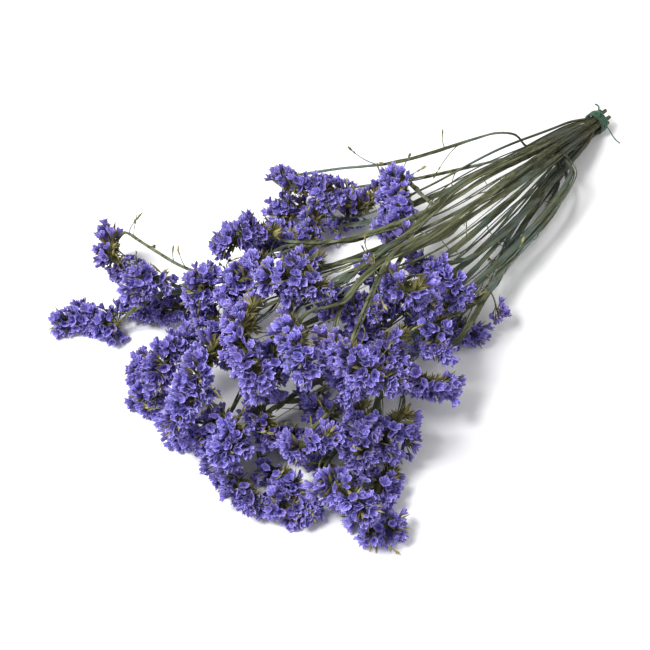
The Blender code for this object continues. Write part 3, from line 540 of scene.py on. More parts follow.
def pushes(rods, places, one, two):
    """What each point is moved by so that the rods it belongs to clear each other."""
    a0 = places[rods.ends[one, 0]] + rods.offs[one, 0]
    a1 = places[rods.ends[one, 1]] + rods.offs[one, 1]
    b0 = places[rods.ends[two, 0]] + rods.offs[two, 0]
    b1 = places[rods.ends[two, 1]] + rods.offs[two, 1]
    s, t = closest(a0, a1, b0, b1)
    line = (a0 + (a1 - a0) * s[:, None]) - (b0 + (b1 - b0) * t[:, None])
    apart = np.linalg.norm(line, axis=1)
    line[apart < 1e-3] = (0, 0, 1)
    lack = rods.reach[one] + rods.reach[two] + GAP - apart
    hit = lack > 0
    way = line[hit] / np.maximum(apart[hit], 1e-3)[:, None] * (lack[hit] / 2)[:, None]
    moved = np.zeros_like(places)
    count = np.zeros(len(places))
    for pair, share, sign in ((one, s, 1), (two, t, -1)):
        ends = rods.ends[pair[hit]]
        for column, weight in ((0, 1 - share[hit]), (1, share[hit])):
            np.add.at(moved, ends[:, column], sign * way * weight[:, None])
            np.add.at(count, ends[:, column], weight)
    return moved / np.maximum(count, 1)[:, None]


def untangle(layout):
    """Eases crossing stems and heads apart, bending each line softly, and keeps all above the surface."""
    rods = Rods(layout)
    first = layout.places.copy()
    shift = np.zeros_like(first)
    held = [i for chain in layout.chains if chain.root is None for i in chain.points[:3]]
    low = np.array(layout.reach)
    feet = []
    for chain in layout.chains:
        spine = chain.spine()
        out = sides(layout.places[spine], chain.head.faces)[:, 2]
        lies = chain.stem + "_" + chain.head.name in FEET
        low[spine] = np.maximum(low[spine], VIOLET_REACH - (PRESSED if lies else 0.3) - VIOLET_OFF * out)
        feet += spine if lies else []
    for turn in range(ROUNDS):
        places = first + shift
        if turn % LOOK_EVERY == 0:
            one, two = rods.pairs(places)
        shift += PUSH * pushes(rods, places, one, two)
        crowded = turn < CROWDED_SHARE * ROUNDS
        if crowded:
            shift[:, :2] *= HOMEWARD
        shift[feet, 2] -= SINK
        shift[:, 2] = np.maximum(shift[:, 2], low - first[:, 2])
        soft = SOFT[0] if crowded else SOFT[1]
        eased = shift.copy()
        for chain in layout.chains:
            line = chain.points
            eased[line[1:-1]] += soft * ((shift[line[:-2]] + shift[line[2:]]) / 2 - shift[line[1:-1]])
            if chain.root is not None:
                eased[line[0]] = shift[chain.root]
            spine = chain.spine()
            eased[spine] += soft * (shift[spine].mean(axis=0) - shift[spine])
        shift = eased
        shift[held] = 0
        shift[:, 2] = np.maximum(shift[:, 2], low - first[:, 2])
    for chain in layout.chains:
        if chain.root is not None:
            shift[chain.points[0]] = shift[chain.root]
    layout.places = np.round(first + shift, 1)


LAYOUT = grow()
untangle(LAYOUT)
CHAINS = {chain.stem + "_" + chain.head.name: chain for chain in LAYOUT.chains}


def to_frame(point):
    """A layout point, in mm, as a place in the scene, in metres."""
    return Vector((point[0] - BUNCH_MIDDLE[0], point[1] - BUNCH_MIDDLE[1], point[2])) * MM


class Wire:
    """A shader socket that takes part in sums: each + - * on it adds a Math node."""

    def __init__(self, finish, socket):
        self.finish = finish
        self.socket = socket

    def reckon(self, operation, first, second):
        return self.finish.reckon(operation, first, second)

    def __add__(self, other):
        return self.reckon("ADD", self, other)

    def __radd__(self, other):
        return self.reckon("ADD", other, self)

    def __sub__(self, other):
        return self.reckon("SUBTRACT", self, other)

    def __rsub__(self, other):
        return self.reckon("SUBTRACT", other, self)

    def __mul__(self, other):
        return self.reckon("MULTIPLY", self, other)

    def __rmul__(self, other):
        return self.reckon("MULTIPLY", other, self)

    def between(self, low, high):
        """0 below low, 1 above high, and a soft ramp from one to the other."""
        return self.finish.node("ShaderNodeMapRange", {"interpolation_type": "SMOOTHSTEP", "clamp": True},
                                {"Value": self, "From Min": low, "From Max": high})


class Finish:
    """A material on its way: a Principled surface and the nodes that feed it."""

    def __init__(self, name, roughness, **fixed):
        self.material = bpy.data.materials.new(name)
        self.material.use_nodes = True
        self.tree = self.material.node_tree
        self.surface = self.tree.nodes["Principled BSDF"]
        self.surface.inputs["Roughness"].default_value = roughness
        for socket, value in fixed.items():
            self.surface.inputs[socket.replace("_", " ")].default_value = value

    def node(self, kind, settings, sockets, output=0):
        """Adds a node with its settings, then fills its sockets, by place or by name."""
        made = self.tree.nodes.new(kind)
        for name, value in settings.items():
            setattr(made, name, value)
        pairs = sockets.items() if isinstance(sockets, dict) else enumerate(sockets)
        for place, value in pairs:
            socket = made.inputs[place]
            if isinstance(value, Wire):
                self.tree.links.new(value.socket, socket)
            else:
                socket.default_value = value
        return Wire(self, made.outputs[output])

    def reckon(self, operation, first, second):
        return self.node("ShaderNodeMath", {"operation": operation}, (first, second))

    def place(self):
        """The piece's own coordinates."""
        return self.node("ShaderNodeTexCoord", {}, {}, "Object")

    def stretched(self, scale):
        return self.node("ShaderNodeMapping", {}, {"Vector": self.place(), "Scale": scale})

    def noise(self, vector, scale, detail=3.0, roughness=0.55):
        return self.node("ShaderNodeTexNoise", {}, {"Vector": vector, "Scale": scale, "Detail": detail,
                                                    "Roughness": roughness})

    def attribute(self, name):
        return self.node("ShaderNodeAttribute", {"attribute_name": name}, {}, "Fac")

    def mix(self, share, first, second, blend="MIX"):
        """A colour between two others, or one laid over the other."""
        return self.node("ShaderNodeMix", {"data_type": "RGBA", "blend_type": blend},
                         {0: share, 6: first, 7: second}, 2)

    def feed(self, socket, wire):
        self.tree.links.new(wire.socket, self.surface.inputs[socket])

    def bump(self, height, strength, distance):
        made = self.node("ShaderNodeBump", {}, {"Strength": strength, "Distance": distance, "Height": height})
        self.feed("Normal", made)


def shade(red, green, blue):
    """A colour read as screen values from 0 to 255, as a shader's own values."""
    parts = [value / 255 for value in (red, green, blue)]
    return (*[part / 12.92 if part <= 0.04045 else ((part + 0.055) / 1.055) ** 2.4 for part in parts], 1)


def calyx_finish(rim_and_highlight_colour):
    """Papery violet: darker in the throat and hollow as painted shade, paler towards the rim, with pleats
    that carry painted highlights on their ridges and painted shade in their creases, a rim that is partly its
    own paler colour and partly a painted highlight, and green where it joins the stalk.
    """
    made = Finish("papery_calyx", 0.6, Sheen_Weight=0.2, Sheen_Roughness=0.5, Specular_IOR_Level=0.3)
    reach = made.attribute("reach")
    tone = made.attribute("tone")
    fold = made.attribute("fold")
    turn = made.reckon("ARCTAN2", made.attribute("side_y"), made.attribute("side_x"))
    crease = made.noise(made.place(), 520.0, 2.0)
    pleat = made.reckon("SINE", turn * 9 + crease * 12, 0) * 0.5 + 0.5
    patch = made.noise(made.place(), 26.0, 2.0)
    # Painted shade: the hollow and the throat take a darker violet, which gives way to the body colour
    # towards the rim.
    painted_hollow_shade = made.mix(tone, shade(42, 28, 98), shade(74, 58, 152))
    # The tone sets both colours between dark purple and pale bluish violet, partly as the calyx's own colour
    # and partly as painted light on lit and shaded heads.
    body = made.mix(tone, shade(80, 60, 148), shade(140, 130, 228))
    violet = made.mix(reach.between(0.4, 0.9), painted_hollow_shade, body)
    violet = made.mix((patch - 0.5).between(0.0, 0.2) * 0.45, violet, shade(112, 80, 164))
    # Painted highlight: the ridges of the pleats turn paler, more so towards the rim.
    violet = made.mix(pleat.between(0.35, 0.95) * reach * 0.6, violet, shade(160, 150, 224))
    # The rim: partly its own paler colour and partly a painted highlight, laid on more strongly on raised
    # ruffles and on heads of high tone.
    violet = made.mix(reach.between(0.86, 1.0) * (0.05 + 0.6 * fold + 0.45 * tone), violet, rim_and_highlight_colour)
    throat = (1 - reach.between(0.36, 0.5)) * patch.between(0.5, 0.62)
    violet = made.mix(throat * 0.7, violet, shade(112, 62, 70))
    # Painted shade: the creases between the pleats turn darker.
    violet = made.mix((1 - pleat).between(0.6, 0.95) * 0.5, violet, shade(58, 42, 122))
    stalk = made.mix(patch, shade(96, 96, 60), shade(146, 140, 92))
    made.feed("Base Color", made.mix(reach.between(0.04, 0.3), stalk, violet))
    made.bump(pleat + crease, 0.5, 0.0005)
    return made.material


def wood_finish():
    """Dried stem: olive green with grey and bluish streaks along it and browned spots, and patches of painted
    shade that darken it towards the tie, where the stems crowd together.
    """
    made = Finish("dried_stem", 0.7, Specular_IOR_Level=0.35)
    streak = made.noise(made.stretched((16.0, 260.0, 260.0)), 1.0, 4.0)
    fine = made.noise(made.stretched((60.0, 900.0, 900.0)), 1.0, 3.0)
    patch = made.noise(made.place(), 14.0, 2.0)
    green = made.mix(streak.between(0.36, 0.66), shade(58, 60, 36), shade(112, 116, 84))
    green = made.mix(patch.between(0.48, 0.7) * 0.6, green, shade(98, 118, 116))
    green = made.mix(fine.between(0.52, 0.75) * 0.7, green, shade(40, 38, 22))
    spot = made.noise(made.place(), 90.0, 2.0)
    green = made.mix(spot.between(0.66, 0.8) * 0.6, green, shade(112, 84, 52))
    # Painted shade: in patches the stems turn dark olive from the middle of the bundle on towards the tie,
    # where they lie crowded, and stay so up to their cut ends.
    along = made.node("ShaderNodeSeparateXYZ", {}, {"Vector": made.place()}, "X")
    green = made.mix(along.between(0.08, 0.27) * patch.between(0.3, 0.5) * 0.6, green, shade(58, 52, 32))
    made.feed("Base Color", green)
    made.bump(streak + fine * 0.5, 0.6, 0.0006)
    return made.material


def bract_finish():
    """The small scales of the stalks: straw and yellow-green, browned at their tips."""
    made = Finish("straw_bract", 0.75, Specular_IOR_Level=0.25)
    tone = made.attribute("tone")
    reach = made.attribute("reach")
    fine = made.noise(made.place(), 500.0, 2.0)
    straw = made.mix(tone, shade(72, 74, 40), shade(166, 158, 100))
    straw = made.mix(fine.between(0.5, 0.75) * 0.5, straw, shade(88, 76, 42))
    straw = made.mix(reach.between(0.6, 1.0) * 0.5, straw, shade(122, 84, 56))
    made.feed("Base Color", straw)
    made.bump(fine, 0.4, 0.0004)
    return made.material


def cut_finish():
    """The pale pith of a cut stem, mottled with brown."""
    made = Finish("cut_wood", 0.85)
    fine = made.noise(made.place(), 900.0, 3.0)
    made.feed("Base Color", made.mix(fine, shade(116, 98, 68), shade(196, 184, 146)))
    made.bump(fine, 0.5, 0.0004)
    return made.material


def elastic_finish():
    """The tie's green elastic, ribbed across its turns."""
    made = Finish("green_elastic", 0.6, Sheen_Weight=0.3)
    rib = made.node("ShaderNodeTexWave", {"wave_type": "BANDS", "bands_direction": "X"},
                    {"Vector": made.place(), "Scale": 420.0, "Distortion": 1.5, "Detail": 2.0}, "Fac")
    worn = made.noise(made.place(), 160.0, 3.0)
    green = made.mix(rib, shade(6, 46, 28), shade(16, 84, 54))
    made.feed("Base Color", made.mix(worn.between(0.5, 0.75) * 0.5, green, shade(34, 78, 58)))
    made.bump(rib, 0.5, 0.0004)
    return made.material


def floor_finish(colour):
    made = Finish("pale_floor", 0.9)
    made.feed("Base Color", made.mix(made.noise(made.place(), 3.0) * 0.1, colour, shade(236, 236, 238)))
    return made.material


def new_object(name, mesh, *finishes):
    """A mesh as an object of the scene, with its finishes in their slots."""
    made = bpy.data.objects.new(name, mesh)
    bpy.context.scene.collection.objects.link(made)
    for finish in finishes:
        made.data.materials.append(finish)
    return made


def new_shape():
    """An empty shape whose points will carry the layers."""
    shape = bmesh.new()
    for name in LAYERS:
        shape.verts.layers.float.new(name)
    return shape


def mesh_of(name, shape):
    """The shape as a mesh. The shape itself is let go."""
    mesh = bpy.data.meshes.new(name)
    shape.to_mesh(mesh)
    shape.free()
    return mesh


def scatter(chance, low, high):
    """A vector of three even draws."""
    return np.array([chance.uniform(low, high) for axis in range(3)])


def cloud(chance):
    """A vector of three draws that gather round 0."""
    return np.array([chance.gauss(0, 1) for axis in range(3)])


def unit(vector):
    return vector / np.linalg.norm(vector)


def strewn(at, way, chance, sizes):
    """The placing that stands a shape's Z along a way at a point, turned about it and sized by chance."""
    roll = chance.uniform(0, math.tau)
    stand = Vector(way).to_track_quat("Z", "Y").to_matrix().to_4x4()
    turned = Matrix.Translation(to_frame(at)) @ stand @ Matrix.Rotation(roll, 4, "Z")
    return turned @ Matrix.Scale(chance.uniform(*sizes), 4)


def calyx_shape(chance, width):
    """A papery funnel with five ruffled lobes: walls that end in a thin crumpled rim round a hollow."""
    shape = new_shape()
    layers = [shape.verts.layers.float[name] for name in LAYERS]
    bmesh.ops.create_circle(shape, cap_ends=False, segments=CALYX_SIDES, radius=width)
    rings = [shape.verts[:]]
    for ring in CALYX_RINGS[1:]:
        rings.append(drawn_on(shape, rings[-1]))
    for (half, height, share), ring in zip(CALYX_RINGS, rings):
        for vertex in ring:
            angle = math.atan2(vertex.co.y, vertex.co.x)
            lobe = 1 + LOBE_DEPTH * share * math.cos(LOBES * angle)
            around = Vector((math.cos(angle), math.sin(angle), 0))
            vertex.co = (around * half * lobe + Vector((0, 0, height))) * width
            set_layers(vertex, layers, (share, 0.5, 0, around.x, around.y))
    crumple(chance, rings, width, layers)
    for ring, height, share in ((rings[0], CALYX_ROOT, 0.0), (rings[2], CALYX_THROAT, 0.4)):
        tip = drawn_on(shape, ring)
        for vertex in tip:
            vertex.co = (0, 0, height * width)
            set_layers(vertex, layers, (share, 0.5, 0, 0, 0))
        bmesh.ops.pointmerge(shape, verts=tip, merge_co=(0, 0, height * width))
    bmesh.ops.recalc_face_normals(shape, faces=shape.faces)
    bmesh.ops.scale(shape, vec=(MM, chance.uniform(*SQUASH) * MM, MM), verts=shape.verts)
    return mesh_of("calyx", shape)


def crumple(chance, rings, width, layers):
    """Ruffles a calyx's rim and marks each fold, and makes its hollow uneven."""
    phase = chance.uniform(0, math.tau)
    for vertex in rings[1]:
        angle = math.atan2(vertex.co.y, vertex.co.x)
        ruffle = RUFFLE * math.sin(LOBES * angle + phase) + chance.uniform(-RUFFLE_CHANCE, RUFFLE_CHANCE)
        vertex.co *= 1 + chance.uniform(-RIM_CHANCE, RIM_CHANCE)
        vertex.co.z += ruffle * width
        vertex[layers[1]] = 0.5 + 3 * ruffle
    for vertex in rings[2]:
        vertex.co.z += chance.uniform(-HOLLOW_CHANCE, HOLLOW_CHANCE) * width


def drawn_on(shape, ring):
    """Extrudes the open ring and gives the new ring's points."""
    own = set(ring)
    edges = [edge for edge in shape.edges if own.issuperset(edge.verts)]
    grown = bmesh.ops.extrude_edge_only(shape, edges=edges)["geom"]
    return [item for item in grown if isinstance(item, bmesh.types.BMVert)]


def set_layers(vertex, layers, values):
    for layer, value in zip(layers, values):
        vertex[layer] = value


def scale_shape(length, width, thickness):
    """A pointed scale or leaf: a flat four-sided spindle, widest a third of the way up."""
    shape = new_shape()
    reach = shape.verts.layers.float["reach"]
    widest = SCALE_WIDEST * length * MM
    bmesh.ops.create_cone(shape, cap_ends=True, cap_tris=True, segments=4, radius1=SCALE_FOOT * width * MM,
                          radius2=SCALE_HALF * width * MM, depth=widest)
    bmesh.ops.translate(shape, vec=(0, 0, widest / 2), verts=shape.verts)
    for vertex in shape.verts:
        high = vertex.co.z > widest / 2
        vertex[reach] = SCALE_WIDEST if high else 0.0
        if high and vertex.co.xy.length < 0.1 * width * MM:
            vertex.co.z = length * MM
            vertex[reach] = 1.0
    bmesh.ops.scale(shape, vec=(1, thickness / width, 1), verts=shape.verts)
    return mesh_of("scale", shape)


def put(shape, template, place, tone, slot=0, least=-math.inf):
    """Adds a copy of a template to the shape, placed and finished, unless it reaches under a least height."""
    copy = template.copy()
    copy.transform(place)
    if min(vertex.co.z for vertex in copy.vertices) > least:
        copy.attributes["tone"].data.foreach_set("value", [tone] * len(copy.vertices))
        copy.polygons.foreach_set("material_index", [slot] * len(copy.polygons))
        shape.from_mesh(copy)
    bpy.data.meshes.remove(copy)


def put_scale(shape, scale, place, tone, slot=1):
    """Adds a scale or leaf that stays over the surface."""
    put(shape, scale, place, tone, slot, least=0.0)


def put_rod(shape, rod, tone=0.5, slot=0):
    """Adds a rod where it lies."""
    put(shape, rod, Matrix.Identity(4), tone, slot)
    bpy.data.meshes.remove(rod)


def finished(name, shape, sharp, *finishes):
    """The shape as an object with smooth faces that stay crisp along folds."""
    for vertex in shape.verts:
        vertex.co.z = max(vertex.co.z, 0.0)
    mesh = mesh_of(name, shape)
    mesh.polygons.foreach_set("use_smooth", [True] * len(mesh.polygons))
    mesh.set_sharp_from_angle(angle=math.radians(sharp))
    return new_object(name, mesh, *finishes)


def rod_mesh(points, scales=None, turns=None, profile=None, reach=None):
    """A closed rod along the points: an outline drawn along it, or a round one of this half width."""
    data = bpy.data.curves.new("rod", "CURVE")
    data.dimensions = "3D"
    data.use_fill_caps = True
    line = data.splines.new("POLY")
    line.points.add(len(points) - 1)
    scales = np.ones(len(points)) if scales is None else scales
    turns = np.zeros(len(points)) if turns is None else turns
    for place, point, scale, turn in zip(line.points, points, scales, turns):
        place.co = (*to_frame(point), 1)
        place.radius = scale
        place.tilt = turn
    if profile is None:
        data.bevel_depth = reach * MM
        data.bevel_resolution = 1
    else:
        data.bevel_mode = "OBJECT"
        data.bevel_object = profile
    rod = new_object("rod", data)
    mesh = bpy.data.meshes.new_from_object(rod.evaluated_get(bpy.context.evaluated_depsgraph_get()))
    bpy.data.objects.remove(rod)
    bpy.data.curves.remove(data)
    weld = bmesh.new()
    weld.from_mesh(mesh)
    bmesh.ops.remove_doubles(weld, verts=weld.verts, dist=MERGE)
    bmesh.ops.recalc_face_normals(weld, faces=weld.faces)
    for name in LAYERS:
        weld.verts.layers.float.new(name)
    weld.to_mesh(mesh)
    weld.free()
    return mesh


def outline(name, corners, scale):
    """The cut across a stem as a closed outline, its lower side the mirror of its upper."""
    data = bpy.data.curves.new(name, "CURVE")
    data.dimensions = "2D"
    line = data.splines.new("POLY")
    around = list(corners) + [(x, -y) for x, y in reversed(corners)]
    line.points.add(len(around) - 1)
    for place, (x, y) in zip(line.points, around):
        place.co = (x * scale * MM, y * scale * MM, 0, 1)
    line.use_cyclic_u = True
    return new_object(name, data)


def head_lines(chain):
    """The finer lines of a head: its stalk, its core, the way it faces, and its direction."""
    spine = LAYOUT.places[chain.spine()]
    out = sides(spine, chain.head.faces)
    core = spline(spine + CORE_OFF * out, 4)
    spine = spline(spine, 4)
    out = spline(out, 4)
    out /= np.linalg.norm(out, axis=1, keepdims=True)
    return spine, core, out, directions(core)


def length_of(line):
    return np.linalg.norm(np.diff(line, axis=0), axis=1).sum()


def at_share(line, share):
    """The point a share of the way along the line."""
    place = share * (len(line) - 1)
    return np.array([np.interp(place, range(len(line)), line[:, axis]) for axis in range(3)])


def spikelets(name, chain, settings):
    """The small clusters of a head: rows across its core, fanned to the facing side, and a few at its tip."""
    chance = random.Random(name + " clusters")
    spine, core, out, along = head_lines(chain)
    rows = max(3, round(length_of(core) / settings.row_step) + 1)
    for row in range(rows):
        share = row / (rows - 1)
        root, front, ahead = (at_share(line, share) for line in (core, out, along))
        aside = np.cross(ahead, front)
        back = unit(np.array((TIE_X, TIE_Y, TIE_Z + TIE_SIDE_LIFT)) - root)
        count = settings.across - row % 2
        for place in range(count):
            fanned = settings.fan * (2 * place / (count - 1) - 1)
            turn = math.radians(fanned + chance.uniform(-TURN_CHANCE, TURN_CHANCE))
            lean = ROW_LEAN * (2 * share - 1) ** 3 + chance.uniform(-LEAN_CHANCE, LEAN_CHANCE)
            way = front * math.cos(turn) + aside * math.sin(turn) + ahead * lean
            yield root, way, unit(way) @ back > settings.bare, chance
    aside = np.cross(along[-1], out[-1])
    for turn in TIP_TURNS:
        way = along[-1] * TIP_LEAN + out[-1] * math.cos(turn) + aside * math.sin(turn)
        yield core[-1], way, False, chance


def calyx_places(root, way, chance, settings):
    """Where each calyx of one small cluster stands, and the way it opens."""
    way = unit(way)
    reach = settings.reach - CLUSTER_DROP + chance.uniform(*DROP_CHANCE)
    for number in range(settings.cluster):
        spread = cloud(chance)
        lean = way + settings.spread * spread
        yield root + reach * way + CALYX_APART * spread - CALYX_SUNK * settings.calyx_width * way, lean


def stands_inside(foot):
    """Whether a calyx with its throat here stays over the surface and in the bunch's box, but for its rim."""
    inside = all(low <= value <= high for low, value, high in zip(CAD_BOX[0], foot, CAD_BOX[1]))
    return inside and foot.z > LEAST_HEIGHT


class STATICE_PG_heads(bpy.types.PropertyGroup):
    """Sizes and colours of the violet heads."""
    calyx_width: bpy.props.FloatProperty(
        name="Calyx width", description="Width of a calyx across its rim, in mm", default=9.4, min=2)
    cluster: bpy.props.IntProperty(
        name="Calyces in a cluster", description="Calyces that open side by side", default=5, min=1)
    spread: bpy.props.FloatProperty(
        name="Spread", description="How far the calyces of a cluster lean apart", default=0.34, min=0)
    reach: bpy.props.FloatProperty(
        name="Reach", description="From a head's core to its calyces' mouths, in mm", default=13.4, min=5)
    row_step: bpy.props.FloatProperty(
        name="Row step", description="From one row of clusters to the next, in mm", default=9.5, min=2)
    across: bpy.props.IntProperty(
        name="Across", description="Clusters in the wider rows", default=5, min=3)
    bare: bpy.props.FloatProperty(
        name="Bare side", description="Clusters facing the tie more than this are missing (cosine)",
        default=0.3, min=0, max=1)
    fan: bpy.props.FloatProperty(
        name="Fan", description="How far the rows reach round to each side, in degrees", default=84)
    sprigs: bpy.props.IntProperty(
        name="Sprigs", description="Small side shoots below each head", default=2, min=0)
    # The rim colour is partly the calyces' own paler rim and partly a painted highlight.
    rim: bpy.props.FloatVectorProperty(
        name="Rim colour", description="The paler colour of the calyces' rims", subtype="COLOR", size=4,
        default=shade(190, 184, 248), min=0, max=1)


class STATICE_PG_stems(bpy.types.PropertyGroup):
    """Sizes of the stems' finer parts."""
    scale_length: bpy.props.FloatProperty(
        name="Scale length", description="Length of the scales behind a head, in mm", default=8.5, min=1)
    strands: bpy.props.IntProperty(
        name="Strands", description="Thinner stems beside each trunk", default=2, min=0)
    twigs: bpy.props.IntProperty(
        name="Twigs", description="Thin twigs on each trunk and branch", default=7, min=0)
    leaf_length: bpy.props.FloatProperty(
        name="Leaf length", description="Length of the small leaves at a fork, in mm", default=19, min=1)


class STATICE_PG_tie(bpy.types.PropertyGroup):
    """Sizes of the tie."""
    turns: bpy.props.IntProperty(
        name="Turns", description="Turns of the elastic side by side", default=3, min=1)


class STATICE_PG_stage(bpy.types.PropertyGroup):
    """The floor, the light and the camera."""
    floor: bpy.props.FloatVectorProperty(
        name="Floor colour", description="Colour of the floor", subtype="COLOR", size=4,
        default=shade(250, 250, 251), min=0, max=1)
    lens: bpy.props.FloatProperty(
        name="Lens", description="Focal length of the camera, in mm", default=59.4, min=10)
    distance: bpy.props.FloatProperty(
        name="Distance", description="From the camera to the bunch", default=1.005, unit="LENGTH")


class HeadMaker:
    """Makes heads from one set of calyx shapes, one scale and their finishes."""

    def __init__(self, settings):
        chance = random.Random("calyx shapes")
        self.settings = settings
        self.calyces = [calyx_shape(chance, settings.calyx_width) for number in range(CALYX_SHAPES)]
        self.scale = scale_shape(*HEAD_SCALE)
        self.finishes = (calyx_finish(tuple(settings.rim)), bract_finish())

    def add_scales(self, shape, root, way, scales, chance):
        """The straw-coloured scales at the foot of a cluster, or all there is of one on a bare side."""
        count, out = scales
        for number in range(count):
            lean = way + scatter(chance, -SCALE_LEAN, SCALE_LEAN)
            place = strewn(root + out * lean, lean, chance, SCALE_SIZES)
            put_scale(shape, self.scale, place, chance.random())

    def add_cluster(self, shape, root, way, tone, chance):
        """A few calyces side by side, with scales between them."""
        self.add_scales(shape, root, way, CLUSTER_SCALES, chance)
        for foot, lean in calyx_places(root, way, chance, self.settings):
            place = strewn(foot, lean, chance, CALYX_SIZES)
            if stands_inside(place.translation):
                put(shape, chance.choice(self.calyces), place, tone + CALYX_TONE * chance.random())

    def add_sprig(self, shape, chain, tone, chance):
        """A small side shoot of the head's branch, with two clusters at its end."""
        line = spline(LAYOUT.places[chain.points], 4)
        start = line[round(len(line) * chance.uniform(*SPRIG_FROM))]
        way = np.array((chance.uniform(*SPRIG_ALONG), chance.uniform(*SPRIG_ASIDE), SPRIG_DROP))
        tip = start + chance.uniform(*SPRIG_LENGTH) * unit(way)
        tip[2] = max(tip[2], SPRIG_HEIGHT)
        bent = spline([start, (start + tip) / 2 + (0, 0, SPRIG_ARCH), tip], 4)
        put_rod(shape, rod_mesh(bent, reach=SPRIG_REACH), 0.0, 1)
        for side in (-SPRIG_LEAN, SPRIG_LEAN):
            lean = way * (1, 1, -0.4) + side * scatter(chance, 0.3, 1)
            self.add_cluster(shape, tip - 5 * lean, lean, tone, chance)

    def build(self, name, chain):
        """One head: a core and its clusters of calyces, standing for the head's solid."""
        core = head_lines(chain)[1]
        shape = bmesh.new()
        # The core has the stalks' own straw finish, set to its darkest tone as painted shade inside the head.
        put_rod(shape, rod_mesh(core, np.linspace(1, 0.7, len(core)), reach=CORE_REACH), 0.0, 1)
        # A head's own tone, drawn at random: partly its own colour, partly painted light that shows the head
        # as lit or in shade.
        own_tone = HEAD_TONE * random.Random(name).random()
        for root, way, bare, chance in spikelets(name, chain, self.settings):
            if bare:
                self.add_scales(shape, root, way, BARE_SCALES, chance)
            else:
                self.add_cluster(shape, root, way, own_tone + CLUSTER_TONE * chance.random(), chance)
        for number in range(self.settings.sprigs):
            self.add_sprig(shape, chain, own_tone, random.Random(name + " sprig" + str(number)))
        made = finished("calyces_" + name, shape, 65, *self.finishes)
        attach(made, "root")
        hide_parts("bloom_" + name)


class STATICE_OT_heads(bpy.types.Operator):
    """Build every violet head out of papery calyces."""
    bl_idname = "statice.heads"
    bl_label = "Violet heads"

    def execute(self, context):
        maker = HeadMaker(context.scene.statice_heads)
        for name, chain in CHAINS.items():
            maker.build(name, chain)
        return {"FINISHED"}


